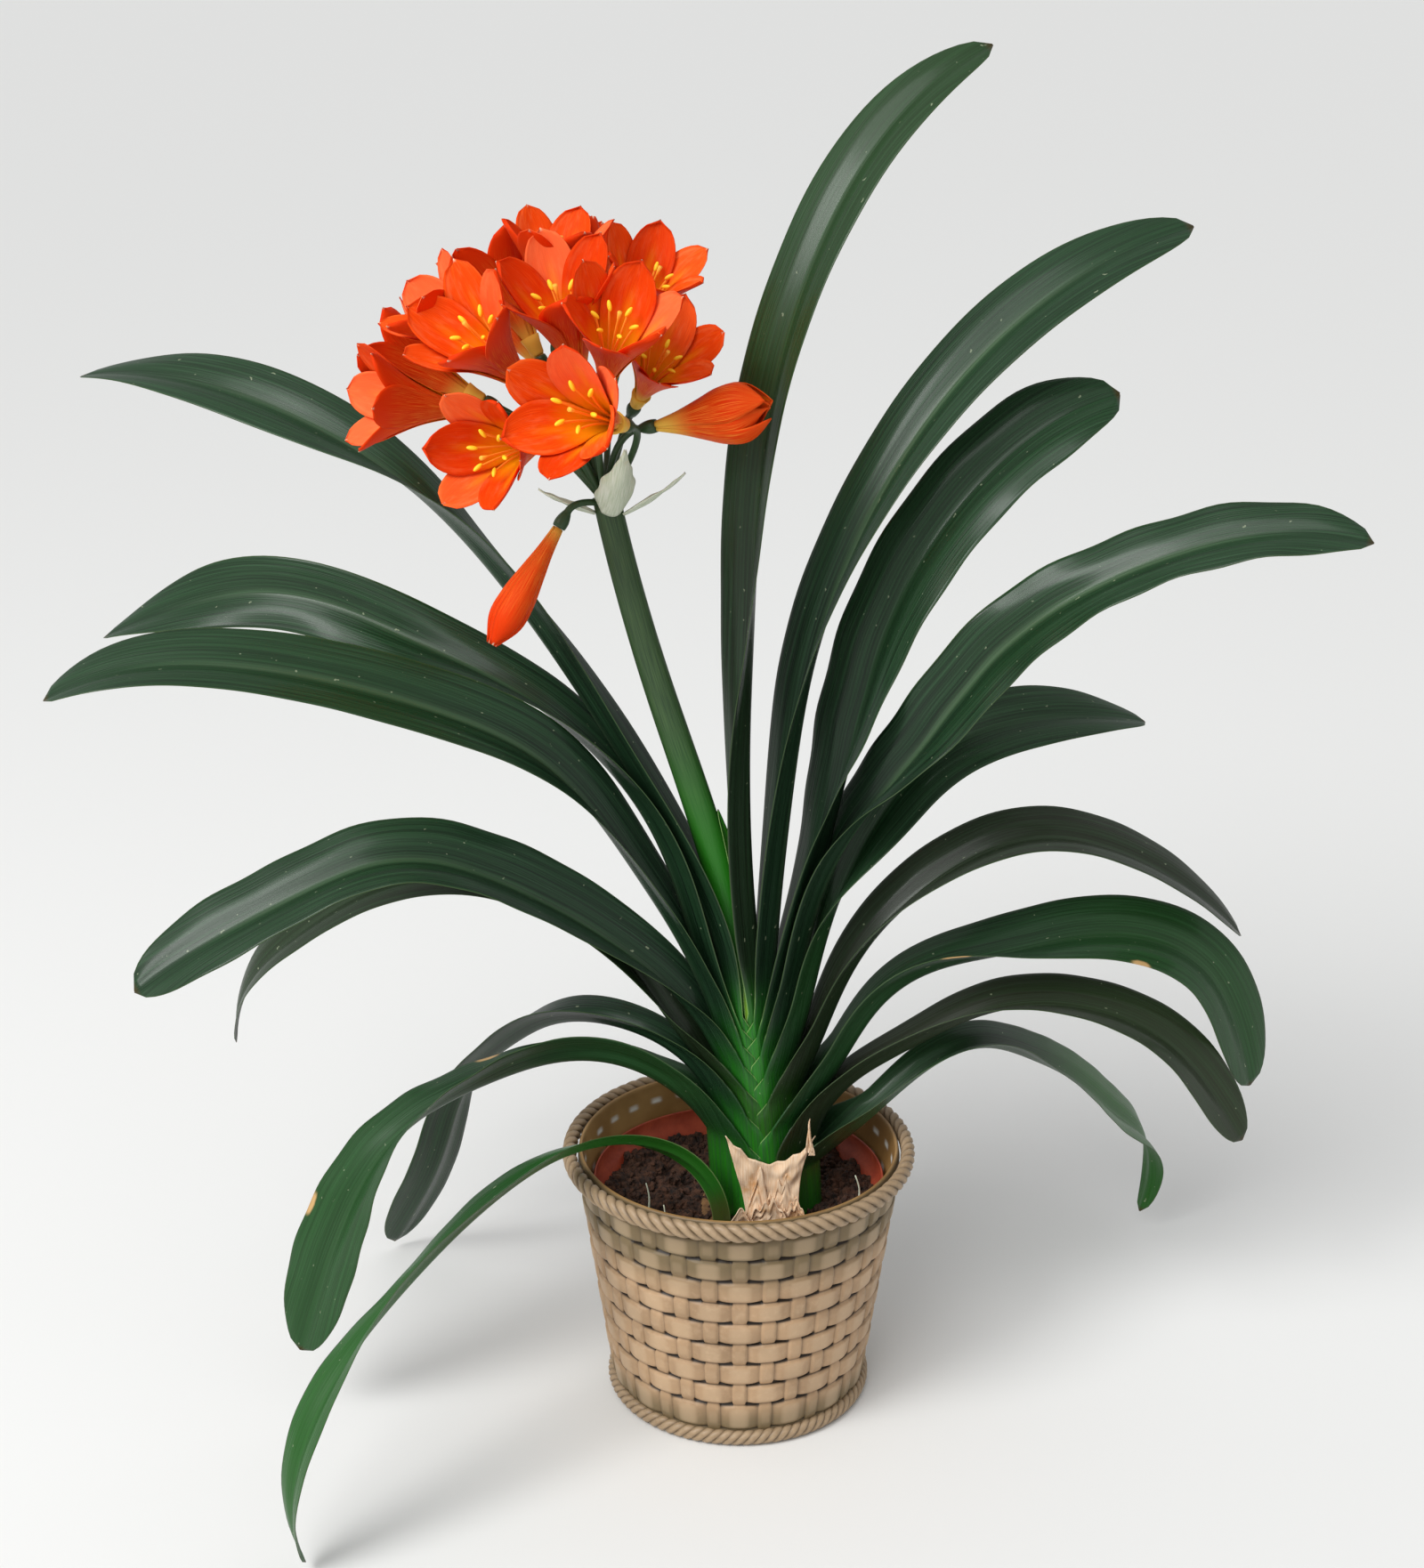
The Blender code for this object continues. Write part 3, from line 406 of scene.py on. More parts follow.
# %% Curves through a few values
def along(values, share):
    """A smooth curve through evenly spaced values, read at shares from 0 to 1."""
    values = np.asarray(values, float)
    last = len(values) - 1
    place = np.clip(np.asarray(share, float), 0, 1) * last
    start = np.minimum(place.astype(int), last - 1)
    f = (place - start).reshape(place.shape + (1,) * (values.ndim - 1))
    padded = np.concatenate([[2 * values[0] - values[1]], values, [2 * values[-1] - values[-2]]])
    a, b, c, d = (padded[start + k] for k in range(4))
    return b + f / 2 * (c - a + f * (2 * a - 5 * b + 4 * c - d + f * (3 * (b - c) + d - a)))


def ease(share):
    share = np.clip(share, 0, 1)
    return share * share * (3 - 2 * share)


def lerp(a, b, share):
    return a + (b - a) * share


print("half way up 0, 3, 1, 2 the smooth curve is at", float(along((0, 3, 1, 2), 0.5)))

# %% [markdown]
# Blender's curve objects could bend a strip too, but a grid worked out in numbers keeps the numbers
# that the finishes read, such as the way to a leaf's edge. A leaf, a petal and a scrap of paper are
# thin sheets: the grid, a copy of it a little behind, and a rim of faces that closes the edge.

# %% A thin sheet
def grid_faces(rows, columns, ring=False):
    """Quads of a grid whose rows lie one after another. A ring's last column joins its first."""
    i, j = np.meshgrid(np.arange(rows - 1), np.arange(columns - (not ring)), indexing="ij")
    here, after = i * columns + j, i * columns + (j + 1) % columns
    return np.stack([here, here + columns, after + columns, after], -1).reshape(-1, 4)


def sheet(grid, thickness):
    """A closed thin body. Its front is the grid, facing rows x columns; its back lies behind it."""
    rows, columns, _ = grid.shape
    normal = np.cross(np.gradient(grid, axis=0), np.gradient(grid, axis=1))
    normal /= np.linalg.norm(normal, axis=2)[..., None] + 1e-12
    back = grid - normal * np.broadcast_to(thickness, (rows, columns))[..., None]
    points = np.concatenate([grid.reshape(-1, 3), back.reshape(-1, 3)])
    count = rows * columns
    front = grid_faces(rows, columns)
    at = np.arange(count).reshape(rows, columns)
    border = np.concatenate([at[:, 0], at[-1, 1:], at[-2::-1, -1], at[0, -2:0:-1]])
    after = np.roll(border, -1)
    rim = np.stack([border, border + count, after + count, after], 1)
    return points, np.concatenate([front, front[:, ::-1] + count, rim])


def on_both(values, grid):
    """A number for every point of a sheet, from its values over the grid."""
    return np.tile(np.broadcast_to(values, grid.shape[:2]).reshape(-1), 2)


flat_grid = np.dstack([*np.meshgrid(np.arange(4.0), np.arange(3.0)), np.zeros((3, 4))])
print("a sheet of 3 by 4 points has", len(sheet(flat_grid, 0.1)[1]), "faces")

# %% [markdown]
# A stalk is a tube along a path, and a pot is a shape of revolution. Both are rings that lie one
# after another, with a point that closes each end, so one helper makes the faces of both.

# %% Rings with closed ends
def closed_rings(rings, foot, top):
    """Points and faces of rings that lie one after another, with a point to close each end."""
    rows, sides, _ = rings.shape
    points = np.concatenate([rings.reshape(-1, 3), [foot, top]])
    faces = grid_faces(rows, sides, ring=True)[:, ::-1].tolist()
    last, foot_point, top_point = (rows - 1) * sides, rows * sides, rows * sides + 1
    for k in range(sides):
        after = (k + 1) % sides
        faces += [[foot_point, after, k], [top_point, last + k, last + after]]
    return points, faces


def tube(path, radii, sides, flatness=1.0, across=(0, 1, 0)):
    """A tube along a path. The flatness makes it thinner towards the direction across."""
    path = np.asarray(path, float)
    radii = np.broadcast_to(radii, len(path))
    ahead = np.gradient(path, axis=0)
    ahead /= np.linalg.norm(ahead, axis=1)[:, None]
    deep = np.asarray(across, float) - ahead * (ahead @ np.asarray(across, float))[:, None]
    deep /= np.linalg.norm(deep, axis=1)[:, None]
    side = np.cross(deep, ahead)
    angle = math.tau * np.arange(sides)[None, :, None] / sides
    around = np.cos(angle) * side[:, None] + flatness * np.sin(angle) * deep[:, None]
    return closed_rings(path[:, None] + radii[:, None, None] * around, path[0], path[-1])


def turned_profile(profile, sides):
    """A shape of revolution. The profile runs from the axis out, up and back to the axis."""
    radius, height = np.asarray(profile, float)[1:-1].T[..., None]
    angle = math.tau * np.arange(sides) / sides
    level = np.broadcast_to(height, (len(profile) - 2, sides))
    rings = np.stack([radius * np.cos(angle), radius * np.sin(angle), level], -1)
    return closed_rings(rings, (0, 0, profile[0][1]), (0, 0, profile[-1][1]))


print("a turned cone of 8 sides has", len(turned_profile([(0, 0), (1, 0), (0, 1)], 8)[1]), "faces")

# %% [markdown]
# A piece may hold many bodies, such as a floret's petals and stamens. They are gathered into one
# mesh. The flat map becomes a UV map, and the other numbers become attributes on the points. The
# same step hangs the piece on the frame.

# %% Gathering bodies into one piece
class Piece:
    """Bodies that become one mesh, with a flat map and numbers on their points."""

    def __init__(self, name, finishes):
        self.name, self.finishes = name, finishes
        self.points, self.faces, self.flat, self.finish_of = [], [], [], []
        self.numbers = {}
        self.count = 0

    def add(self, points, faces, flat=None, finish=0, **numbers):
        points = np.asarray(points, float)
        self.points.append(points)
        flat = np.zeros((len(points), 2)) if flat is None else np.asarray(flat, float)
        self.flat.append(flat.reshape(-1, 2))
        self.faces += [[v + self.count for v in face] for face in np.asarray(faces, object).tolist()]
        self.finish_of += [finish] * len(faces)
        for name, values in numbers.items():
            values = np.broadcast_to(np.asarray(values, float).reshape(-1), len(points))
            self.numbers.setdefault(name, []).append((self.count, values))
        self.count += len(points)
        return self

    def make(self, slot, *solids):
        """The mesh object, which rides on the body and stands for these solids."""
        mesh = bpy.data.meshes.new(self.name)
        mesh.from_pydata(np.concatenate(self.points).tolist(), [], self.faces)
        for finish in self.finishes:
            mesh.materials.append(finish)
        mesh.polygons.foreach_set("material_index", self.finish_of)
        corners = np.empty(len(mesh.loops), np.int32)
        mesh.loops.foreach_get("vertex_index", corners)
        layer = mesh.uv_layers.new(name="flat")
        layer.data.foreach_set("uv", np.concatenate(self.flat)[corners].ravel())
        for name, parts in self.numbers.items():
            values = np.zeros(self.count)
            for start, numbers in parts:
                values[start:start + len(numbers)] = numbers
            mesh.attributes.new(name, "FLOAT", "POINT").data.foreach_set("value", values)
        mesh.shade_smooth()
        obj = bpy.data.objects.new(self.name, mesh)
        bpy.context.scene.collection.objects.link(obj)
        return dressed(obj, slot, *solids)


def dressed(obj, slot, *solids):
    """Hangs a finished piece on the frame."""
    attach(obj, "root")
    if solids:
        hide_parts(*solids)
    obj.data.calc_loop_triangles()
    print(f"{obj.name}: {len(obj.data.loop_triangles)} triangles")
    return obj


print("meshes can be gathered into pieces")

# %% [markdown]
# ## Recipes for what repeats
#
# Geometry Nodes suit the weave, the twisted ropes, the crumbs of soil and the stamens, because each
# follows a rule. A recipe is a tree with named sizes. It is run once on a plain mesh and its result
# is kept as a mesh, so nothing is left live.

# %% A Geometry Nodes recipe
class Recipe(Tree):
    """A Geometry Nodes tree with named inputs."""

    def __init__(self, name, **sizes):
        self.group = bpy.data.node_groups.new(name, "GeometryNodeTree")
        super().__init__(self.group)
        ports = self.group.interface
        ports.new_socket("Geometry", in_out="INPUT", socket_type="NodeSocketGeometry")
        ports.new_socket("Geometry", in_out="OUTPUT", socket_type="NodeSocketGeometry")
        self.sizes = {}
        for size, value in sizes.items():
            kind = "NodeSocketInt" if isinstance(value, int) else "NodeSocketFloat"
            self.sizes[size] = (ports.new_socket(size, in_out="INPUT", socket_type=kind).identifier, value)
        self.source = self.nodes.new("NodeGroupInput")

    def given(self, name):
        return Amount(self, self.source.outputs[name])

    def number(self, name):
        return self.node("GeometryNodeInputNamedAttribute", {"data_type": "FLOAT"}, {"Name": name})

    def keep(self, geometry, name, value):
        """Keeps a number on the points."""
        sockets = {"Geometry": geometry, "Name": name, "Value": value}
        return self.node("GeometryNodeStoreNamedAttribute", {"data_type": "FLOAT"}, sockets)

    def vector(self, x, y, z):
        return self.node("ShaderNodeCombineXYZ", sockets={0: x, 1: y, 2: z})

    def join(self, *bodies):
        joined = self.nodes.new("GeometryNodeJoinGeometry")
        for body in bodies:
            self.links.new(body.socket, joined.inputs[0])
        return Amount(self, joined.outputs[0])

    def close(self, geometry, material):
        """The tree's end: real geometry with its finish."""
        real = self.node("GeometryNodeRealizeInstances", sockets={"Geometry": geometry})
        done = self.node("GeometryNodeSetMaterial", sockets={"Geometry": real, "Material": material})
        self.links.new(done.socket, self.nodes.new("NodeGroupOutput").inputs[0])

    def run(self, name, mesh):
        """The recipe's result on a mesh, as an object with a plain mesh of its own."""
        obj = bpy.data.objects.new(name, mesh)
        bpy.context.scene.collection.objects.link(obj)
        modifier = obj.modifiers.new("recipe", "NODES")
        modifier.node_group = self.group
        for identifier, value in self.sizes.values():
            modifier[identifier] = value
        bpy.context.view_layer.update()
        graph = bpy.context.evaluated_depsgraph_get()
        result = bpy.data.meshes.new_from_object(obj.evaluated_get(graph))
        obj.modifiers.clear()
        obj.data = result
        result.name = name
        return obj


print("recipes are ready")

# %% [markdown]
# ## The cachepot
#
# A real one is injection moulded from a pattern of woven strands. It is a turned wall with a relief:
# flat strands go round it over every other stake, and in the rows between them the stakes come
# forward. Strands could be modelled one by one and woven, but a moulding is one skin, and so is this:
# the wall is turned as a plain shape, and a recipe pushes it in and out by the rule.

# %% Sizes of the cachepot
RIM_TOP = 0.146
WEAVE_BOTTOM, WEAVE_TOP = 0.009, 0.137
WALL_FOOT_RADIUS, WALL_RIM_RADIUS = 0.0685, 0.0865
BOTTOM_ROW, ROW_HEIGHT, STAKES = 0.0174, 0.01345, 32
INNER_FOOT_RADIUS, INNER_RIM_RADIUS, POT_FLOOR = 0.0635, 0.084, 0.004


def wall_radius(height):
    share = (height - WEAVE_BOTTOM) / (WEAVE_TOP - WEAVE_BOTTOM)
    return lerp(WALL_FOOT_RADIUS, WALL_RIM_RADIUS, share)


rows = (WEAVE_TOP - WEAVE_BOTTOM - BOTTOM_ROW) / ROW_HEIGHT
print(f"{STAKES} stakes, a wide bottom row and {rows:.1f} rows above it")

# %% [markdown]
# The rule asks two things of a point: how far it is from the middle of its row of strands, and how
# far from the nearest stake. A cosine round the pot takes each strand over one stake and under the
# next, half a turn later in the row above. Where neither a strand nor a stake is near, a slot is left.

# %% The weave's rule
STRAND_DIP, STAKE_DIP = 1.6, 4.2
STRAND_EDGE, STAKE_EDGE = (0.405, 0.465), (0.225, 0.262)


def weave_recipe(material):
    rule = Recipe("basket weave", Stakes=STAKES, Row=ROW_HEIGHT, Bottom_row=BOTTOM_ROW,
                  First=WEAVE_BOTTOM + BOTTOM_ROW, Strand=0.0016, Stake=0.0014, Slot=-0.0026)
    at = rule.node("GeometryNodeInputPosition")
    x, y, z = (rule.node("ShaderNodeSeparateXYZ", sockets={0: at}, output=k) for k in range(3))
    turn = x.maths("ARCTAN2", y, x) * rule.given("Stakes") / math.tau
    above = z - rule.given("First")
    climb = (above / rule.given("Row")).larger(above / rule.given("Bottom_row"))
    row = climb.whole() + 1
    from_row = (climb - climb.whole() - 0.5).size()
    nearest = (turn + 0.5).whole()
    from_stake = (turn - nearest).size()
    over = ((turn + row) * math.pi).cosine()
    strand = rule.given("Strand") * (1 - (0.5 - over * 0.5) * (0.5 - over * 0.5) * STRAND_DIP)
    strand = strand - 0.0005 * from_row.eased(0.25, 0.5)
    strand = strand - (strand - rule.given("Slot")) * from_row.eased(*STRAND_EDGE)
    forward = ((nearest + climb - 0.5) * math.pi).cosine()
    stake = rule.given("Stake") * (1 - (0.5 - forward * 0.5) * (0.5 - forward * 0.5) * STAKE_DIP)
    stake = stake - 0.0002 * from_stake.eased(0.12, 0.23)
    stake = stake - (stake - rule.given("Slot")) * from_stake.eased(*STAKE_EDGE)
    relief = strand.larger(stake).larger(rule.given("Slot")) * rule.number("weave")
    out = rule.node("ShaderNodeVectorMath", {"operation": "NORMALIZE"}, {0: rule.vector(x, y, 0)})
    shift = rule.node("ShaderNodeVectorMath", {"operation": "SCALE"}, {0: out, "Scale": relief})
    sockets = {"Geometry": rule.given("Geometry"), "Offset": shift}
    moved = rule.node("GeometryNodeSetPosition", sockets=sockets)
    rule.close(rule.keep(moved, "relief", relief * 1000), material)
    return rule


weave = weave_recipe(woven_plastic)
print("the weave's rule has", len(weave.nodes), "nodes")

# %% [markdown]
# The wall's profile runs from the underside up the outside, over the rim and down to the inner
# floor. The rings and the sides are close enough together for the strands' edges to come out sharp.
# The inside is smooth, and small pale slots let light in between its rows: they are only colour.

# %% The wall, inside and outside
SIDES_PER_STAKE, WALL_RINGS, WEAVE_FADE = 18, 129, 0.002
SLOT_WIDTH, SLOT_HEIGHT = 0.20, 0.10


def cachepot_profile():
    """The foot, the outside, the rim and the inside of the wall, as four runs of points."""
    foot = [(0, 0), (0.066, 0), (0.0672, 0.0005), (0.068, 0.004)]
    outer = [(wall_radius(h), h) for h in np.linspace(WEAVE_BOTTOM, WEAVE_TOP, WALL_RINGS)]
    rim = [(0.0868, 0.1395), (0.0862, 0.1435), (0.0852, 0.1448), (0.0843, 0.1440)]
    heights = np.concatenate([np.linspace(0.1425, 0.107, 25), np.linspace(0.1, POT_FLOOR + 0.001, 8)])
    share = (heights - POT_FLOOR) / (RIM_TOP - 0.004 - POT_FLOOR)
    inner = list(zip(lerp(INNER_FOOT_RADIUS, INNER_RIM_RADIUS, share), heights))
    return foot, outer, rim, inner + [(INNER_FOOT_RADIUS - 0.001, POT_FLOOR), (0, POT_FLOOR)]


def cachepot_wall():
    """The turned wall, with the share of weave, inside and slot on its points."""
    foot, outer, rim, inner = cachepot_profile()
    profile = foot + outer + rim + inner
    points, faces = turned_profile(profile, STAKES * SIDES_PER_STAKE)
    x, y, z = points[:-2].T
    ring_of = np.repeat(np.arange(1, len(profile) - 1), STAKES * SIDES_PER_STAKE)
    woven = (ring_of >= len(foot)) & (ring_of < len(foot) + len(outer))
    edge = ease((z - WEAVE_BOTTOM) / WEAVE_FADE) * ease((WEAVE_TOP - z) / WEAVE_FADE)
    inside = ring_of >= len(foot) + len(outer) + 2
    turn = np.arctan2(y, x) * STAKES / math.tau
    level = (z - WEAVE_BOTTOM - BOTTOM_ROW) / ROW_HEIGHT
    beside = ((turn - np.round(turn)) / SLOT_WIDTH) ** 4 + ((level - np.round(level)) / SLOT_HEIGHT) ** 4
    return points, faces, {"weave": woven * edge, "inside": inside, "hole": inside * np.exp(-beside)}


points, faces, numbers = cachepot_wall()
mesh = bpy.data.meshes.new("cachepot_plain")
mesh.from_pydata(points.tolist(), [], faces)
for name, values in numbers.items():
    mesh.attributes.new(name, "FLOAT", "POINT").data.foreach_set("value", np.append(values, (0.0, 0.0)))
cachepot = weave.run("cachepot_weave", mesh)
cachepot.data.shade_smooth()
dressed(cachepot, "woven_plastic", "cachepot")

# %% [markdown]
# Two ropes close the basket off: a fat one rolled over the rim and a thinner one round the foot. Each
# is three strands laid round one another. A strand is a circle round the pot whose points also turn
# round the rope's own middle, and a tube swept along it. How far a point stands out of the rope is
# kept as "proud", so that the finish can paint shade with the dark wash between the strands.

# %% Twisted ropes
STRANDS, ROPE_STEPS, STRAND_SIDES, DEEPEST = 3, 560, 9, 0.62


def rope_strand(rule, number):
    """One strand of a laid rope, swept along its path."""
    circle = rule.node("GeometryNodeCurvePrimitiveCircle", {"mode": "RADIUS"},
                       {"Resolution": ROPE_STEPS, "Radius": 1.0})
    round_pot = rule.node("GeometryNodeSplineParameter") * math.tau
    round_rope = round_pot * rule.given("Turns") + math.tau * number / STRANDS
    reach = rule.given("Ring") + rule.given("Out") * round_rope.cosine()
    level = rule.given("Height") + rule.given("Up") * round_rope.sine()
    place = rule.vector(reach * round_pot.cosine(), reach * round_pot.sine(), level)
    laid = rule.node("GeometryNodeSetPosition", sockets={"Geometry": circle, "Position": place})
    section = rule.node("GeometryNodeCurvePrimitiveCircle", {"mode": "RADIUS"},
                        {"Resolution": STRAND_SIDES, "Radius": rule.given("Thickness")})
    return rule.node("GeometryNodeCurveToMesh", sockets={"Curve": laid, "Profile Curve": section})


def rope_recipe(material, **sizes):
    rule = Recipe("laid rope", **sizes)
    rope = rule.join(*(rope_strand(rule, number) for number in range(STRANDS)))
    at = rule.node("GeometryNodeInputPosition")
    x, y, z = (rule.node("ShaderNodeSeparateXYZ", sockets={0: at}, output=k) for k in range(3))
    outward = (x * x + y * y).root() - rule.given("Ring")
    outward = outward / (rule.given("Out") + rule.given("Thickness"))
    upward = (z - rule.given("Height")) / (rule.given("Up") + rule.given("Thickness"))
    proud = ((outward * outward + upward * upward).root() - DEEPEST) / (1 - DEEPEST)
    kept = rule.keep(rope, "proud", proud)
    rule.close(rule.node("GeometryNodeSetShadeSmooth", sockets={"Geometry": kept}), material)
    return rule


ROPES = {
    "rim_rope": dict(Ring=0.0912, Height=0.1411, Out=0.0013, Up=0.0023, Thickness=0.0026, Turns=-27),
    "foot_rope": dict(Ring=0.0688, Height=0.0048, Out=0.0012, Up=0.0019, Thickness=0.0024, Turns=27),
}
for name, sizes in ROPES.items():
    rope = rope_recipe(rope_plastic, **sizes)
    dressed(rope.run(name, bpy.data.meshes.new(name)), "woven_plastic")

# %% [markdown]
# ## Nursery pot and peat
#
# The thin red-brown pot shows only as a rim inside the basket, a wider band above a tapered wall.
# It is turned from one profile that runs up its outside and down its inside.

# %% Nursery pot
NURSERY_RIM, NURSERY_BAND, NURSERY_WALL = 0.126, 0.117, 0.0012
NURSERY_TOP_RADIUS, NURSERY_BAND_RADIUS, NURSERY_FOOT_RADIUS = 0.0755, 0.0785, 0.056
NURSERY_FOOT, NURSERY_SIDES = POT_FLOOR + 0.0003, 144


def tapered(share, inset=0):
    """A point of the tapered wall, from its foot to its band."""
    radius = lerp(NURSERY_FOOT_RADIUS, NURSERY_TOP_RADIUS, share) - inset
    return radius, lerp(NURSERY_FOOT, NURSERY_BAND, share)


def nursery_profile():
    wall, band, low, rim = NURSERY_WALL, NURSERY_BAND_RADIUS, NURSERY_BAND, NURSERY_RIM
    return [
        (0, NURSERY_FOOT), (NURSERY_FOOT_RADIUS - 0.002, NURSERY_FOOT),
        (NURSERY_FOOT_RADIUS, NURSERY_FOOT + 0.002), tapered(0.3), tapered(0.6), tapered(1),
        (band - 0.0004, low), (band, low + 0.0005), (band, rim - 0.0006), (band - 0.0005, rim),
        (band - wall + 0.0003, rim - 0.0001), (band - wall, rim - 0.0008), (band - wall, low + 0.0018),
        (NURSERY_TOP_RADIUS - wall, low), tapered(0.8, wall), tapered(0.4, wall), tapered(0.05, wall),
        (0, NURSERY_FOOT + wall)]


points, faces = turned_profile(nursery_profile(), NURSERY_SIDES)
Piece("nursery_pot_wall", [terracotta_plastic]).add(points, faces).make("terracotta_plastic", "nursery_pot")

# %% [markdown]
# Peat is dark and crumbly, a little lower in the middle than at the pot's wall. Its top is a turned
# surface raised and lowered by waves in random directions, which is cheap and never repeats to the
# eye. Large lumps are added to small ones.

# %% The lumpy ground
SOIL_EDGE, SOIL_MIDDLE, CROWN_CENTRE = 0.1125, 0.1045, 0.014
SOIL_FOOT, SOIL_SIDES, WAVES = 0.0062, 160, 26


def lumps(x, y, seed, size):
    """Smooth random ups and downs over the ground, from waves in random directions."""
    rng = np.random.default_rng(seed)
    total = np.zeros_like(x)
    for _ in range(WAVES):
        turn, phase = rng.uniform(0, math.tau, 2)
        wave = rng.uniform(0.6, 2.2) * math.tau / size
        total += np.sin(wave * (x * math.cos(turn) + y * math.sin(turn)) + phase)
    return total / WAVES ** 0.5


def soil_height(x, y):
    radius = np.hypot(x, y)
    level = lerp(SOIL_MIDDLE, SOIL_EDGE, ease((radius - 0.025) / 0.045))
    return level + 0.0021 * lumps(x, y, 3, 0.022) + 0.0009 * lumps(x, y, 4, 0.008)


def soil_body():
    radii = np.concatenate([(0.0545, 0.0545, 0.0700, 0.0738), np.linspace(0.0736, 0.0009, 64)])[:, None]
    angle = math.tau * np.arange(SOIL_SIDES) / SOIL_SIDES
    x, y = radii * np.cos(angle), radii * np.sin(angle)
    z = soil_height(x, y)
    z[:4] = np.array((SOIL_FOOT, SOIL_FOOT + 0.0002, 0.085, 0.105))[:, None]
    return closed_rings(np.stack([x, y, z], -1), (0, 0, SOIL_FOOT), (0, 0, SOIL_MIDDLE))


points, faces = soil_body()
Piece("soil_ground", [peat]).add(points, faces).make("peat", "soil")

# %% [markdown]
# Loose crumbs lie on the ground, a few large ones among many small ones. Placing each by hand would
# be endless, so a recipe strews one faceted ball over the open faces and squashes and turns it at
# random. The cube of a random number makes the small sizes common.

# %% Crumbs strewn over the ground
CRUMB_LENGTH, CRUMB_HEIGHT, OPEN_ABOVE = 1.3, 0.75, 0.086


def crumb_recipe(material):
    rule = Recipe("peat crumbs", Density=180000.0, Smallest=0.0005, Largest=0.0030, Seed=5)
    scatter = {"Mesh": rule.given("Geometry"), "Density": rule.given("Density"), "Seed": rule.given("Seed")}
    spots = rule.node("GeometryNodeDistributePointsOnFaces", sockets=scatter)
    crumb = rule.node("GeometryNodeMeshIcoSphere", sockets={"Radius": 1.0, "Subdivisions": 1})
    size = rule.node("FunctionNodeRandomValue", {"data_type": "FLOAT"},
                     {2: 0.0, 3: 1.0, "Seed": rule.given("Seed")}, 1)
    size = rule.given("Smallest") + (rule.given("Largest") - rule.given("Smallest")) * size * size * size
    squash = rule.vector(size * CRUMB_LENGTH, size, size * CRUMB_HEIGHT)
    spin = rule.node("FunctionNodeRandomValue", {"data_type": "FLOAT_VECTOR"},
                     {0: (0, 0, 0), 1: (6.28, 6.28, 6.28)})
    strewn = rule.node("GeometryNodeInstanceOnPoints", sockets={
        "Points": spots, "Instance": crumb, "Scale": squash, "Rotation": spin})
    rule.close(strewn, material)
    return rule


ground = bpy.data.meshes.new("ground")
open_ground = [face for face in faces if min(points[v, 2] for v in face) > OPEN_ABOVE]
ground.from_pydata(points.tolist(), [], open_ground)
crumbs = crumb_recipe(peat).run("soil_crumbs", ground)
dressed(crumbs, "peat")

# %% [markdown]
# ## The fan of leaves
#
# Every leaf starts as a folded sheath that clasps the younger ones, so the foot of the fan is a
# flat herringbone. Above it the sheath opens into a strap that arches over. The table below is the
# frame's own: how each leaf climbs, turns and twists. Only the number of points is larger here.

# %% The leaf table
GAP = 0.0003
SHEATH_FOOT = 0.1057 + GAP
SHEATH_WALL = 0.00065
LINE_LEAN, LINE_BEND = 0.04, 0.4
FIRST_REACH, REACH_STEP, YOUNG_INSET = 0.0070, 0.0014, 0.0004
FIRST_HALF_GAP, HALF_GAP_STEP = 0.0052, 0.0010
HEART_HEIGHT, CROSS_DROP, CROSS_DROP_GROWTH = 0.228, 0.0021, 0.00023
MARGIN_SLOPE, FIRST_OVERLAP, OVERLAP_STEP = 0.9, 0.0012, 0.00022
NECK_DEPTH, OPENING_LENGTH, NECK_WIDTH, CHANNEL = 0.009, 0.045, 0.70, 6
TURN_SHARE, WIDENING_SHARE = 0.4, 0.45
FOLD, YOUNG_FOLD, FRONT_FOLD = (45, 32, 16, 8), (45, 42, 40, 40), (0, 16, 14, 8)
FRONT_FOOT = (-0.009, -0.0234, SHEATH_FOOT)

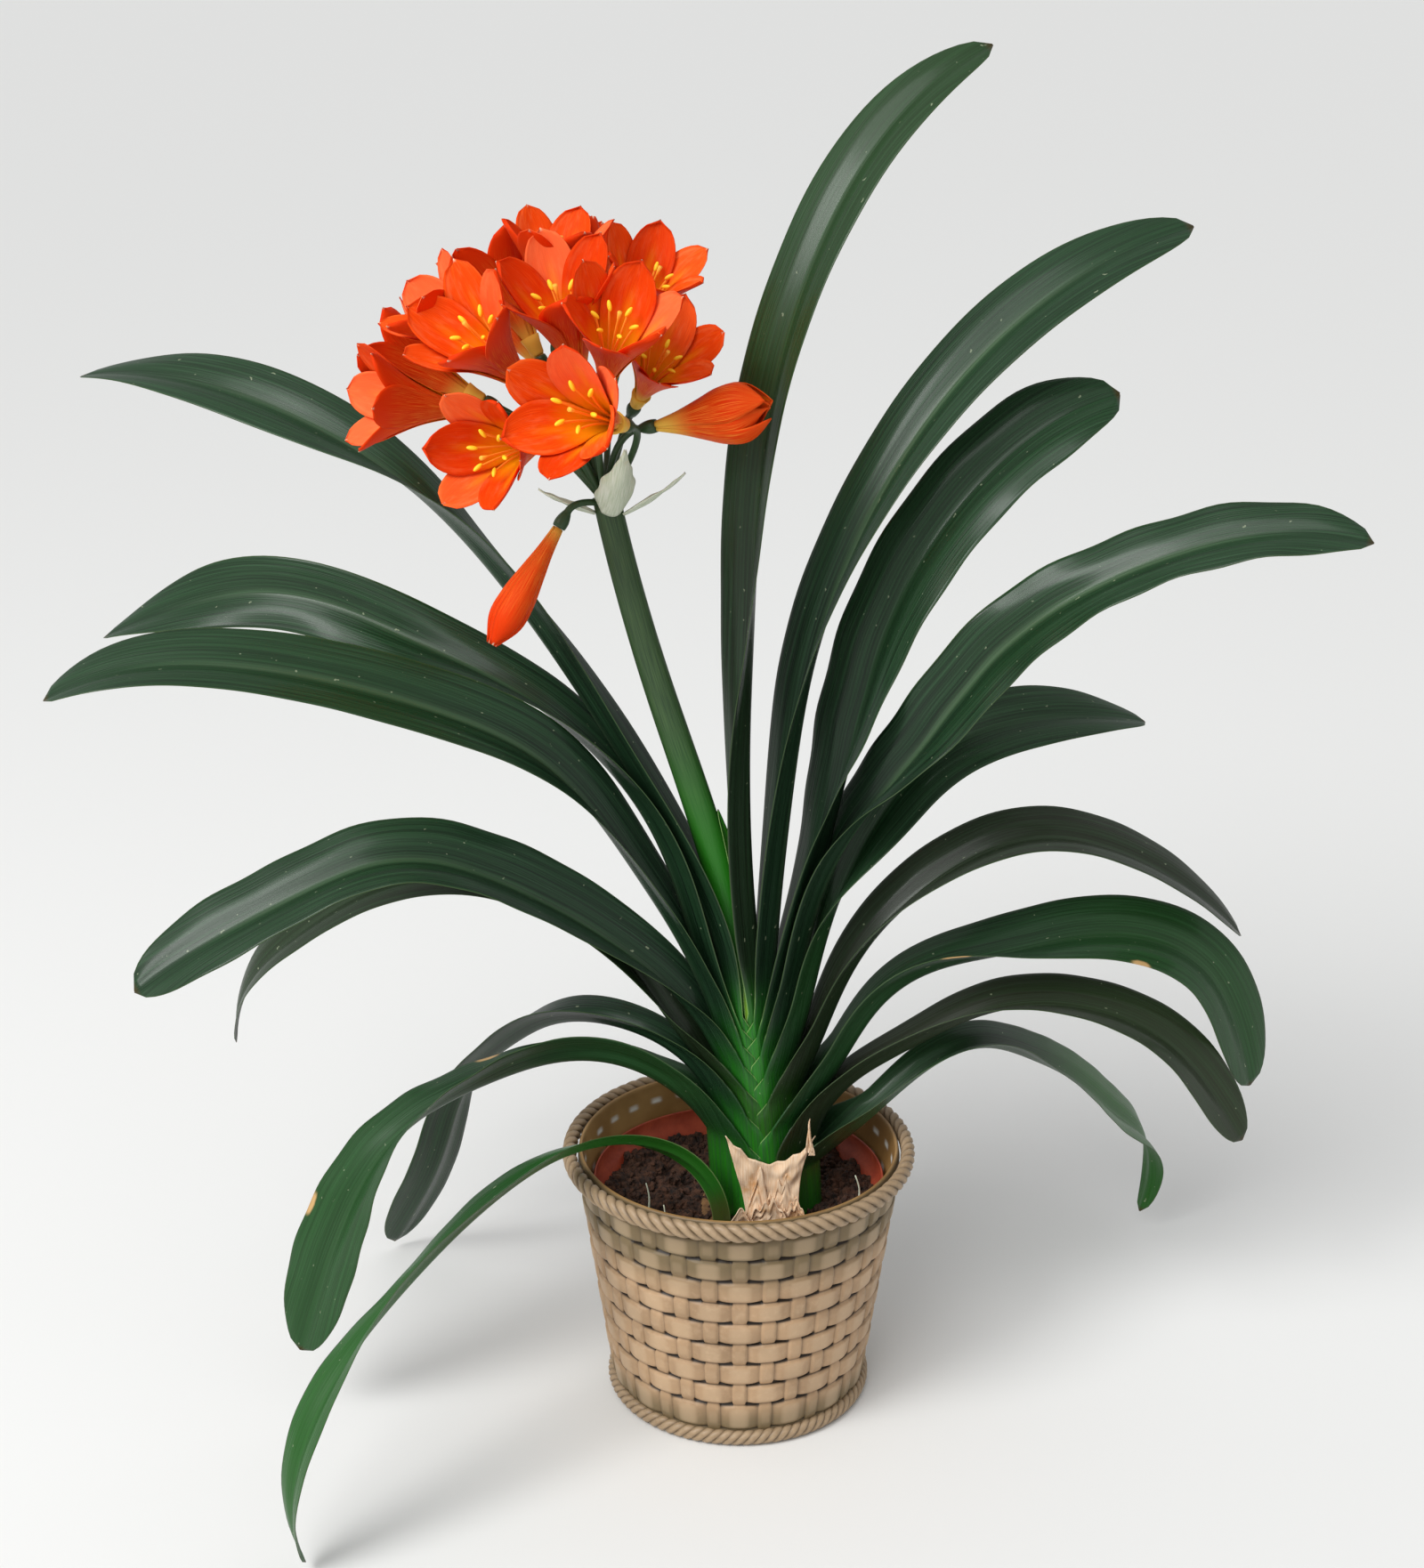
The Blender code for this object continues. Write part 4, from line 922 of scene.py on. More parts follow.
Leaf = namedtuple("Leaf", "name order heading climb length width twist tip")
LEAVES = (
    Leaf("leaf_young", 1, -7, (97, 99, 103, 111), 0.113, 0.014, (0, 17), 0.60),
    Leaf("leaf_right_1", 2, 20, (98, 93, 88, 87, 73, 55, 22), 0.530, 0.042, (0, -12, 11, 18, 32), 0.25),
    Leaf("leaf_left_1", 3, 155, (87, 63, 54, 45, 25, 9, -11), 0.545, 0.042, (0, -14, -31, 31, 5), 0.20),
    Leaf("leaf_right_2", 4, 14, (88, 85, 81, 67, 53, 34, 12), 0.495, 0.044, (0, -4, 13, 29, 33), 0.22),
    Leaf("leaf_left_2", 5, 162, (70, 73, 45, 22, 17, -15, -27), 0.470, 0.040, (0, -13, 17, 77, 13), 0.30),
    Leaf("leaf_right_3", 6, 12, (78, 76, 77, 75, 59, 40, 12), 0.395, 0.048, (0, -5, 30, 45, 37), 0.14),
    Leaf("leaf_left_3", 7, 190, (76, 61, 55, 27, 17, 3, -29), 0.440, 0.042, (0, 17, 43, 34, 8), 0.14),
    Leaf("leaf_right_4", 8, -16, (81, 76, 55, 56, 34, 18, -11), 0.445, 0.042, (0, 10, 65, 36, 32), 0.20),
    Leaf("leaf_left_4", 9, 192, (68, 44, 34, 21, -19, -26, -36), 0.360, 0.046, (0, 37, 32, 27, 36), 0.20),
    Leaf("leaf_right_5", 10, 26, (76, 78, 65, 45, 11, -6, -17), 0.325, 0.038, (0, -10, 60, 47, 14), 0.30),
    Leaf("leaf_left_5", 11, 160, (53, 56, 24, -10, -33, -46, -87), 0.390, 0.034, (0, 40, 50, 39, 25), 0.30),
    Leaf("leaf_right_6", 12, 10, (70, 68, 45, 22, -15, -34, -49), 0.335, 0.040, (0, 3, 17, 18, 17), 0.30),
    Leaf("leaf_left_6", 13, 135, (73, 13, -32, -43, -67, -58, -54), 0.365, 0.038,
         (0, -3, 10, -2, -15), 0.20),
    Leaf("leaf_right_7", 14, 14, (59, 58, 10, 6, -21, -62, -78), 0.355, 0.044, (0, -13, 26, 55, 68), 0.20),
    Leaf("leaf_left_7", 15, 195, (60, 25, -10, -26, -57, -70, -73), 0.325, 0.044,
         (0, -27, -11, 35, 48), 0.20),
    Leaf("leaf_right_8", 16, 8, (82, 35, 24, -4, -27, -52, -61), 0.310, 0.038, (0, -11, 13, 36, 66), 0.25),
    Leaf("leaf_right_9", 17, 46, (40, 37, -22, -33, -42, -46, -130), 0.375, 0.034,
         (0, 5, 35, 47, 12), 0.30),
    Leaf("leaf_left_8", 18, 224, (90, 25, -6, -24, -36, -65, -112), 0.388, 0.032,
         (-90, -39, -28, -40, -10, -27), 0.40),
)
print(len(LEAVES), "leaves, the longest blade", max(leaf.length for leaf in LEAVES), "m")

# %% [markdown]
# A sheath is folded flat round all the younger ones. Its fold lies further out with each older leaf,
# its two margins overlap those of the other rank along the middle line, and where they have crossed
# the sheath opens into a blade. These are rules of the leaf's order alone, so eighteen sheaths nest
# without being placed one by one. Only the short leaf in front has no sheath of its own.

# %% Where a sheath folds, overlaps and opens
def side_of(leaf):
    return -1 if "left" in leaf.name else 1


def is_front(leaf):
    return leaf.order == len(LEAVES)


def fold_reach(order):
    return FIRST_REACH + REACH_STEP * order - (YOUNG_INSET if order == 1 else 0)


def half_gap(order):
    return FIRST_HALF_GAP + HALF_GAP_STEP * (order - 1)


def least_depth(order):
    return max(NECK_DEPTH, half_gap(order) + 0.001)


def crossing_height(order):
    return HEART_HEIGHT - CROSS_DROP * order - CROSS_DROP_GROWTH * order**2


def sheath_depth(order, distance):
    reach = fold_reach(order)
    slope = reach + MARGIN_SLOPE * (crossing_height(order) - SHEATH_FOOT - distance)
    return np.clip(slope, least_depth(order), reach + FIRST_OVERLAP + OVERLAP_STEP * order)


def sheath_length(leaf):
    if is_front(leaf):
        return 0
    past_crossing = (fold_reach(leaf.order) - least_depth(leaf.order)) / MARGIN_SLOPE
    return crossing_height(leaf.order) - SHEATH_FOOT + past_crossing


def middle_line(height):
    return CROWN_CENTRE - LINE_LEAN * height - LINE_BEND * height**2


def opening(leaf, distance):
    if is_front(leaf):
        return np.ones_like(distance)
    return ease((distance - sheath_length(leaf)) / OPENING_LENGTH)


print("sheaths, in mm:", *(round(1000 * sheath_length(leaf)) for leaf in LEAVES))

# %% [markdown]
# A blade is a line that climbs, turns and twists, with a section across it. The section is five
# points: the middle, two corners half way out and two margins. The line is walked in small steps
# once, and the fine leaf reads it at any distance. A sheath stands straight up from the crown, and
# its section is folded at the middle; along the opening the two sections are mixed.

# %% The leaf's midrib and its sections
SPINE_STEPS, FRONT_NECK, NARROWEST = 400, 0.30, 0.025


def blade_half_width(leaf, share):
    neck = FRONT_NECK if is_front(leaf) else NECK_WIDTH
    widening = neck + (1 - neck) * ease(share / WIDENING_SHARE)
    into_tip = np.clip((share - 1 + leaf.tip) / leaf.tip, 0, 1)
    rounding = np.sqrt(np.clip(1 - into_tip**2.2, 0, 1))
    return leaf.width / 2 * widening * np.maximum(rounding, NARROWEST)


def blade_spine(leaf):
    fine = np.linspace(0, 1, SPINE_STEPS + 1)
    side, start = side_of(leaf), sheath_length(leaf)
    fan = 0 if side > 0 else 180
    climb = np.radians(along(leaf.climb, fine))
    turn = np.radians(fan + (leaf.heading - fan) * ease(fine / TURN_SHARE))
    ahead = np.stack([np.cos(climb) * np.cos(turn), np.cos(climb) * np.sin(turn), np.sin(climb)], 1)
    heart = np.stack([-np.sin(climb) * np.cos(turn), -np.sin(climb) * np.sin(turn), np.cos(climb)], 1)
    front = side * np.cross(ahead, heart)
    first = (middle_line(start) + side * fold_reach(leaf.order), 0, SHEATH_FOOT + start)
    first = np.array(FRONT_FOOT if is_front(leaf) else first)
    steps = (ahead[1:] + ahead[:-1]) / 2 * leaf.length / SPINE_STEPS
    spine = np.concatenate([[first], first + np.cumsum(steps, axis=0)])
    opened = opening(leaf, start + fine * leaf.length)[:, None]
    twist = np.radians(along(leaf.twist, fine))[:, None] * opened
    up = lerp(np.array([[-side, 0.0, 0.0]]), heart * np.cos(twist) + front * np.sin(twist), opened)
    up /= np.linalg.norm(up, axis=1)[:, None]
    return spine, up, front * np.cos(twist) - heart * np.sin(twist)


def leaf_spine(leaf, distances):
    """The leaf's middle line, its heart side and its way out, at these distances from its foot."""
    side, start = side_of(leaf), sheath_length(leaf)
    place = np.clip((distances - start) / leaf.length, 0, 1) * SPINE_STEPS
    below = np.minimum(place.astype(int), SPINE_STEPS - 1)
    part = (place - below)[:, None]
    spine, up, out = (lerp(line[below], line[below + 1], part) for line in blade_spine(leaf))
    low = distances < start
    height = distances[low]
    fold_line = middle_line(height) + side * fold_reach(leaf.order)
    spine[low] = np.stack([fold_line, 0 * height, SHEATH_FOOT + height], 1)
    return spine, up, out


def leaf_sections(leaf, distance):
    """Where the corner and the margin lie, out from the middle line and towards the heart."""
    shares = np.clip((distance - sheath_length(leaf)) / leaf.length, 0, 1)
    gap = half_gap(leaf.order)
    folds = FRONT_FOLD if is_front(leaf) else YOUNG_FOLD if leaf.order == 1 else FOLD
    fold = np.radians(along(folds, shares))
    channel = math.radians(CHANNEL)
    half = blade_half_width(leaf, shares) / 2
    blade_corner = np.stack([half * np.cos(fold + channel), half * np.sin(fold + channel)], 1)
    beyond = np.stack([half * np.cos(fold - channel), half * np.sin(fold - channel)], 1)
    blade_margin = blade_corner + beyond
    depth = sheath_depth(leaf.order, distance)
    flat = np.ones_like(depth)
    sheath_corner = np.stack([gap * flat, gap * flat], 1)
    sheath_margin = np.stack([gap * flat, depth], 1)
    opened = opening(leaf, distance)[:, None]
    return lerp(sheath_corner, blade_corner, opened), lerp(sheath_margin, blade_margin, opened)


tips = [leaf_spine(leaf, np.array([sheath_length(leaf) + leaf.length]))[0][0] for leaf in LEAVES]
print("the highest tip is at", round(max(float(tip[2]) for tip in tips), 3), "m")

# %% [markdown]
# No two leaves look alike. Some have a pale rib, some a wavy edge, a dried nick or a darker green.
# Some are a fresher green near the foot, and on others a lit green is painted far out, where the
# blade turns to the light. Those looks are written down leaf by leaf, as the photo shows them.

# %% How each leaf looks
# near is a fresher green by the blade's foot; far is painted light, a lit green out where the blade turns.
Looks = namedtuple("Looks", "wave rib scars near far dark", defaults=(0.00012, 0.15, (), 0.0, 0.08, 0.0))
LOOKS = {
    "leaf_young": Looks(near=0.3),
    "leaf_right_1": Looks(rib=0.3, far=0.2, dark=0.2),
    "leaf_right_2": Looks(rib=0.9),
    "leaf_right_3": Looks(wave=0.0008),
    "leaf_right_4": Looks(wave=0.0009, rib=0.9),
    "leaf_right_5": Looks(near=0.2, far=0.1),
    "leaf_right_6": Looks(dark=0.4, far=0.0),
    "leaf_right_7": Looks(rib=0.2, scars=((0.33, -0.96), (0.62, -0.97)), near=0.2, far=0.25),
    "leaf_right_8": Looks(dark=0.5, far=0.1),
    "leaf_right_9": Looks(near=0.2, far=0.7),
    "leaf_left_1": Looks(rib=0.5),
    "leaf_left_2": Looks(rib=0.5),
    "leaf_left_3": Looks(rib=0.7, far=0.1),
    "leaf_left_4": Looks(wave=0.0005, rib=0.6),
    "leaf_left_5": Looks(dark=0.35),
    "leaf_left_7": Looks(wave=0.0005, scars=((0.40, -0.98), (0.76, -0.97)), near=0.2, far=0.3),
    "leaf_left_8": Looks(near=1.0, far=0.6),
}
print(len(LOOKS), "leaves have looks of their own")

# %% [markdown]
# The fine leaf is a grid along its length and across its width. The five points of a section are
# joined by a smooth curve, the edge waves a little, and a crease runs along the middle. The grid has
# to face the heart of the fan, so it is turned over where it faces away.

# %% A fine leaf
COLUMNS, SHEATH_ROWS, BLADE_ROWS = 25, 16, 84
CREASE_DEPTH, CREASE_WIDTH = 0.0006, 0.0018


def leaf_grid(leaf, looks):
    """The leaf's heart side, with the distance and the share of the blade for each row."""
    start = sheath_length(leaf)
    low = np.linspace(0, start, SHEATH_ROWS)[:-1] if start else np.zeros(0)
    distances = np.concatenate([low, np.linspace(start, start + leaf.length, BLADE_ROWS)])
    share = np.clip((distances - start) / leaf.length, 0, 1)
    spine, up, out = leaf_spine(leaf, distances)
    corner, margin = leaf_sections(leaf, distances)
    halves = ((margin, 1), (corner, 1), (0 * corner, 1), (corner, -1), (margin, -1))
    section = np.stack([spine + out * half[:, :1] * sign + up * half[:, 1:] for half, sign in halves])
    across = np.linspace(0, 1, COLUMNS)
    grid = np.swapaxes(along(section, across), 0, 1)
    phase = 2.1 * leaf.order + 1.3 * np.sign(across - 0.5)[:, None]
    wave = np.sin(distances * (95 + 7 * leaf.order) + phase).T * np.abs(2 * across - 1) ** 3
    wave = looks.wave * ease((share - 0.2) / 0.3)[:, None] * wave
    crease = CREASE_DEPTH * np.exp(-((across - 0.5) * leaf.width / CREASE_WIDTH) ** 2)
    crease = crease * (ease(share / 0.1) * (1 - ease((share - 0.85) / 0.12)))[:, None]
    grid += up[:, None] * (wave - crease)[..., None]
    facing = np.cross(np.gradient(grid, axis=0), np.gradient(grid, axis=1))[:, COLUMNS // 2]
    return (grid if np.sum(facing * up) > 0 else grid[:, ::-1]), distances, share


young = leaf_grid(LEAVES[0], Looks())[0]
print("a leaf's grid has", young.shape[0], "rows of", young.shape[1], "points")

# %% [markdown]
# What the leaf finish reads is kept on the points. The heart's folded leaves are palest, the older
# ones less so, and each turns green a little above its sheath. The way to the edge also sets the
# thickness, which thins out over the last 3 mm.

# %% What the leaf finish reads
RIB_WIDTH, SCAR_LENGTH, SCAR_WIDTH, EDGE_MM = 0.0020, 0.008, 0.13, 3


def paleness(leaf, distances, share):
    if leaf.order == 1:
        return 0.75 - 0.3 * share
    if is_front(leaf):
        return 0.22 * (1 - ease(distances / 0.16))
    inner = (len(LEAVES) - leaf.order) / len(LEAVES)
    fading = sheath_length(leaf) + 0.02 + 0.03 * inner
    return (0.26 + 0.74 * inner) * (1 - ease((distances / fading - 0.35) / 0.65))


def leaf_numbers(leaf, looks, reach, distances, share):
    width = reach[:, -1:]
    rib = looks.rib * np.exp(-((reach - width / 2) / RIB_WIDTH) ** 2)
    rib = rib * (ease(share / 0.15) * (1 - ease((share - 0.75) / 0.2)))[:, None]
    scar = np.zeros(reach.shape)
    for at, off in looks.scars:
        lengthwise = (share[:, None] - at) * leaf.length / SCAR_LENGTH
        sideways = (np.linspace(-1, 1, COLUMNS) - off) / SCAR_WIDTH
        scar += np.exp(-lengthwise**2 - sideways**2)
    tip = ease((share - 0.991) / 0.009)
    if is_front(leaf):
        tip = np.maximum(tip, 0.7 * (1 - ease((distances - 0.008) / 0.030)))
    near = looks.near * (0.3 + 0.7 * ease(share / 0.12)) * (1 - ease((share - 0.12) / 0.45))
    # The fresh green near the foot, plus painted light far out along the blade.
    vivid = near + looks.far * ease((share - 0.35) / 0.3)
    return {"pale": paleness(leaf, distances, share)[:, None], "vivid": vivid[:, None],
            "margin": np.minimum(reach, width - reach) * 1000, "rib": rib, "scar": scar,
            "tip": tip[:, None], "dark": looks.dark}


def make_leaf(leaf):
    looks = LOOKS.get(leaf.name, Looks())
    grid, distances, share = leaf_grid(leaf, looks)
    steps = np.linalg.norm(np.diff(grid, axis=1), axis=2)
    reach = np.concatenate([np.zeros((len(grid), 1)), np.cumsum(steps, axis=1)], 1)
    numbers = leaf_numbers(leaf, looks, reach, distances, share)
    points, faces = sheet(grid, SHEATH_WALL * (0.45 + 0.55 * ease(numbers["margin"] / EDGE_MM)))
    lengthwise = np.broadcast_to(distances[:, None], reach.shape)
    flat = np.stack([reach - reach[:, -1:] / 2, lengthwise], -1).reshape(-1, 2)
    numbers = {name: on_both(values, grid) for name, values in numbers.items()}
    piece = Piece(leaf.name + "_blade", [leaf_green])
    piece.add(points, faces, np.tile(flat, (2, 1)), **numbers)
    return piece.make("leaf_green", leaf.name)


for leaf in LEAVES:
    make_leaf(leaf)

# %% [markdown]
# ## The crown and the dried sheath
#
# The leaves stand on a short stem that the soil hides. Its outline is a rounded oblong under the
# foot of the fan, and five rings of that outline are enough.

# %% Crown
CROWN_SIDES, CROWN_HALF_LENGTH, CROWN_HALF_WIDTH, CROWN_POWER = 72, 0.0345, 0.0268, 3.6
CROWN_RINGS = ((0, 0.0846), (0, 0.100), (0, 0.1042), (-0.0008, 0.1055), (-0.006, 0.1057))


def crown_ring(grow, height):
    angle = math.tau * np.arange(CROWN_SIDES) / CROWN_SIDES
    c, s = np.cos(angle), np.sin(angle)
    x = np.sign(c) * np.abs(c) ** (2 / CROWN_POWER) * (CROWN_HALF_LENGTH + grow)
    y = np.sign(s) * np.abs(s) ** (2 / CROWN_POWER) * (CROWN_HALF_WIDTH + grow)
    return np.stack([CROWN_CENTRE + x, y, np.full(CROWN_SIDES, height)], 1)


rings = np.stack([crown_ring(*ring) for ring in CROWN_RINGS])
foot, top = ((CROWN_CENTRE, 0, CROWN_RINGS[k][1]) for k in (0, -1))
Piece("crown_stem", [old_stem]).add(*closed_rings(rings, foot, top)).make("old_stem", "crown")

# %% [markdown]
# In front of the crown the oldest sheath has dried to beige paper and still clings to the foot of
# the fan. It is torn into scraps of different heights: one tall one with two ears, a few short ones
# over it, and a thin sliver on the right. Each is a sheet with its own torn outline, bent outward
# and crumpled by the same waves as the soil.

# %% Dried sheath
Scrap = namedtuple("Scrap", "left right foot height lean spread outline seed")
EARS = (1.0, 0.89, 0.80, 0.74, 0.72, 0.73, 0.79, 0.87, 0.98)
POINT = (0.25, 0.5, 0.75, 1.0, 0.7, 0.45, 0.2)
TORN = (0.5, 0.75, 0.65, 0.9, 0.8, 1.0, 0.75, 0.7, 0.4)
SCRAPS = (
    Scrap((0.0030, -0.0252), (0.0305, -0.0252), 0.1035, 0.059, 0.0010, 0.74, EARS, 1),
    Scrap((0.003, -0.0262), (0.0180, -0.0266), 0.1035, 0.040, 0.0014, 0.10, POINT, 2),
    Scrap((0.014, -0.0264), (0.0300, -0.0264), 0.1035, 0.036, 0.0012, 0.15, TORN, 3),
    Scrap((0.006, -0.0272), (0.0250, -0.0274), 0.1035, 0.024, -0.0020, 0.0, TORN, 4),
    Scrap((-0.006, -0.0256), (0.0090, -0.0262), 0.1035, 0.017, -0.0030, 0.1, POINT, 5),
    Scrap((0.024, -0.0258), (0.0360, -0.0250), 0.1035, 0.022, -0.0020, 0.1, TORN, 6),
    Scrap((0.0360, -0.0262), (0.0392, -0.0258), 0.1500, 0.021, 0.0010, -0.2, POINT, 7),
)
SCRAP_ROWS, SCRAP_COLUMNS, TEETH, PAPER = 30, 49, 13, 0.00045


def scrap_body(scrap):
    """The scrap's front as a grid, and its flat map."""
    rng = np.random.default_rng(scrap.seed)
    across = np.linspace(0, 1, SCRAP_COLUMNS)
    u, v = np.meshgrid(across, np.linspace(0, 1, SCRAP_ROWS))
    teeth = np.interp(across, np.linspace(0, 1, TEETH), rng.uniform(0, 0.05, TEETH))
    top = scrap.height * (along(scrap.outline, across) - teeth)
    wide = 0.5 + (u - 0.5) * (1 + scrap.spread * v**2.2)
    x = lerp(scrap.left[0], scrap.right[0], wide) + 0.0010 * np.sin(5 * v + scrap.seed)
    y = lerp(scrap.left[1], scrap.right[1], u)
    crease = lumps(x, v * 0.045, 20 + scrap.seed, 0.016) * 0.0009 * (0.3 + 0.7 * v)
    y = y + scrap.lean * v**2 - 0.0006 * np.sin(9 * u + scrap.seed) * v + crease
    grid = np.stack([x, y, scrap.foot + v * top[None]], -1)
    return grid, np.stack([x, grid[..., 2]], -1)


dried = Piece("dry_sheath_paper", [dry_leaf])
for scrap in SCRAPS:
    grid, flat = scrap_body(scrap)
    points, faces = sheet(grid[:, ::-1], PAPER)
    dried.add(points, faces, np.tile(flat[:, ::-1].reshape(-1, 2), (2, 1)))
dried.make("dry_leaf", "dry_sheath")

# %% [markdown]
# A few pale dry roots stick out of the peat. They are short bent tubes that start just under the
# ground, so that none seems to float, and they stand for no solid of the CAD part.

# %% Roots and twigs on the soil
Root = namedtuple("Root", "foot lean height thick")
ROOTS = (
    Root((0.062, -0.012), (0.003, -0.002), 0.020, 0.0007),
    Root((-0.040, -0.040), (0.001, 0.001), 0.016, 0.0006),
    Root((-0.050, -0.022), (0.002, 0.003), 0.018, 0.0007),
    Root((0.044, -0.036), (0.004, -0.001), 0.010, 0.0007),
    Root((-0.046, -0.043), (-0.003, 0.002), 0.014, 0.0007),
)
ROOT_DEPTH = 0.003
roots = Piece("soil_roots", [papery_bract])
for root in ROOTS:
    share = np.linspace(0, 1, 9)
    x = root.foot[0] + root.lean[0] * np.sin(3 * share)
    y = root.foot[1] + root.lean[1] * share
    ground_here = float(soil_height(np.array(root.foot[0]), np.array(root.foot[1])))
    path = np.stack([x, y, ground_here - ROOT_DEPTH + (root.height + ROOT_DEPTH) * share], 1)
    roots.add(*tube(path, root.thick * (1 - 0.5 * share), 8))
roots.make("papery_bract")

# %% [markdown]
# ## The flower stalk
#
# The stalk is flat with two blunt edges and leans left out of the heart. It is walked in small steps
# like a leaf's middle line, and one flattened tube follows it up to the joint of the flower head.

# %% The stalk's path
STALK_FOOT, STALK_HEADING, STALK_LENGTH = (0.0140, 0.0, SHEATH_FOOT), 166.5, 0.4012
STALK_CLIMB = (88, 84.5, 81.5, 75, 71.5, 74, 78)
STALK_HALF_WIDTHS = (0.0055, 0.0056, 0.0068, 0.0080, 0.0078, 0.0073, 0.0070)
STALK_FLATNESS, STALK_RINGS, STALK_SIDES = 0.62, 60, 24
UMBEL_JOINT = np.array((-0.067, 0.012, 0.497))


def stalk_path(count):
    fine = np.linspace(0, 1, SPINE_STEPS + 1)
    climb = np.radians(along(STALK_CLIMB, fine))
    turn = np.radians(180 + (STALK_HEADING - 180) * ease(fine))
    ahead = np.stack([np.cos(climb) * np.cos(turn), np.cos(climb) * np.sin(turn), np.sin(climb)], 1)
    steps = (ahead[1:] + ahead[:-1]) / 2 * STALK_LENGTH / SPINE_STEPS
    path = np.concatenate([[STALK_FOOT], STALK_FOOT + np.cumsum(steps, axis=0)])
    return path[np.round(np.linspace(0, SPINE_STEPS, count)).astype(int)]


print("the stalk ends at", np.round(stalk_path(2)[-1], 3))

# %% [markdown]
# The flower head is a ball of florets on stalklets of their own. Each line of the table says where a
# floret sits from the joint, in millimetres, and which way it looks. The places are the frame's own,
# so that each fine floret stands on the solid that it replaces.

# %% The floret table
MILLIMETRE = 0.001
Floret = namedtuple("Floret", "name form base azimuth climb")
FLORETS = (
    Floret("floret_01", "open", (11, -39, 43), 246, 16),
    Floret("floret_02", "open", (-26, -19, 31), 240, 5),
    Floret("floret_03", "open", (15, 6, 44), 295, 41),
    Floret("floret_04", "open", (9, 26, 68), 302, 57),
    Floret("floret_05", "open", (-23, 9, 74), 275, 81),
    Floret("floret_06", "open", (-33, 20, 66), 160, 61),
    Floret("floret_07", "open", (-46, -4, 61), 194, 44),
    Floret("floret_08", "open", (-33, -18, 54), 230, 40),
    Floret("floret_09", "open", (-60, 13, 45), 171, 25),
    Floret("floret_10", "open", (-60, -6, 43), 200, 10),
    Floret("floret_11", "open", (-10, -13, 57), 253, 60),
    Floret("floret_12", "open", (1, -37, 57), 286, 50),
    Floret("floret_13", "open", (-17, 33, 64), 83, 54),
    Floret("floret_14", "open", (-32, 36, 56), 123, 32),
    Floret("bud_half_open", "half_open", (26, -20, 39), 337, 13),
    Floret("bud_upright", "closed", (-12, 16, 68), 60, 80),
    Floret("bud_hanging", "closed", (-23, -14, -13), 210, -55),
)


def direction(azimuth, climb):
    a, c = math.radians(azimuth), math.radians(climb)
    return np.array((math.cos(c) * math.cos(a), math.cos(c) * math.sin(a), math.sin(c)))


forms = [floret.form for floret in FLORETS]
print({form: forms.count(form) for form in ("open", "half_open", "closed")})

# %% [markdown]
# A stalklet leaves the joint, bends until it points the floret's way, and thickens into the round
# ovary that the floret sits on. Its bend is a curve of three points, and the ovary is a swelling of
# the radii.

# %% Stalklets and ovaries
BEND_STEPS, OVARY_STEPS, STALKLET_SIDES = 14, 7, 10
OVARY_LENGTH, BEND_SHARE, JOINT_DEPTH = 0.009, 0.35, 0.004


def stalklet(floret):
    """Path and radii from the joint to the floret, with the ovary at its end."""
    facing = direction(floret.azimuth, floret.climb)
    top = UMBEL_JOINT + np.array(floret.base) * MILLIMETRE - facing * GAP
    joint = UMBEL_JOINT - (0, 0, JOINT_DEPTH)
    neck = top - facing * OVARY_LENGTH
    bend = neck - facing * BEND_SHARE * np.linalg.norm(neck - joint)
    share = np.linspace(0, 1, BEND_STEPS)[:, None]
    path = lerp(lerp(joint, bend, share), lerp(bend, neck, share), share)
    ovary = neck + facing * np.linspace(0.0012, OVARY_LENGTH, OVARY_STEPS)[:, None]
    swelling = 0.0019 + 0.0017 * np.sin(np.linspace(0.3, 2.2, OVARY_STEPS))
    return np.concatenate([path, ovary]), np.concatenate([np.linspace(0.0016, 0.0019, BEND_STEPS), swelling])


path, radii = stalklet(FLORETS[0])
print("the first ovary is", round(2000 * float(radii.max()), 1), "mm thick")

# %% [markdown]
# Stalk and stalklets are one green piece, as they grow as one. The flat map runs round and along
# each of them. The stalk's foot is pale, where it stands between the folded leaves.

# %% The stalk in one piece
def round_and_along(arc, lengths):
    """The flat map of a tube, closing points included."""
    flat = np.stack(np.broadcast_arrays(arc[None], lengths[:, None]), -1).reshape(-1, 2)
    return np.concatenate([flat, [(0, 0), (0, lengths[-1])]])


stalk = Piece("flower_stalk_stem", [stalk_green])
share = np.linspace(0, 1, STALK_RINGS)
half_widths = along(STALK_HALF_WIDTHS, share)
points, faces = tube(stalk_path(STALK_RINGS), half_widths, STALK_SIDES, STALK_FLATNESS)
arc = STALK_HALF_WIDTHS[-1] * math.tau * np.arange(STALK_SIDES) / STALK_SIDES
pale = np.concatenate([np.repeat(1 - ease((share - 0.38) / 0.42), STALK_SIDES), [1, 0]])
stalk.add(points, faces, round_and_along(arc, share * STALK_LENGTH), pale=pale)
for floret in FLORETS:
    path, radii = stalklet(floret)
    points, faces = tube(path, radii, STALKLET_SIDES, across=(0.13, 0.97, 0.21))
    flat = round_and_along(0.002 * np.arange(STALKLET_SIDES), np.linspace(0, 0.06, len(path)))
    stalk.add(points, faces, flat, tip=0.6)
stalk.make("stalk_green", "flower_stalk")

# %% [markdown]
# ## Florets
#
# A floret is a funnel of six petals, three outer ones and three wider inner ones that lie inside them.
# Each petal wraps part of the way round the floret's axis, so its grid is worked out as distance from
# the axis and angle round it. That keeps six of them in a ring without placing any by hand. Each one
# flares and ripples a little in its own way, from a seed of its own.

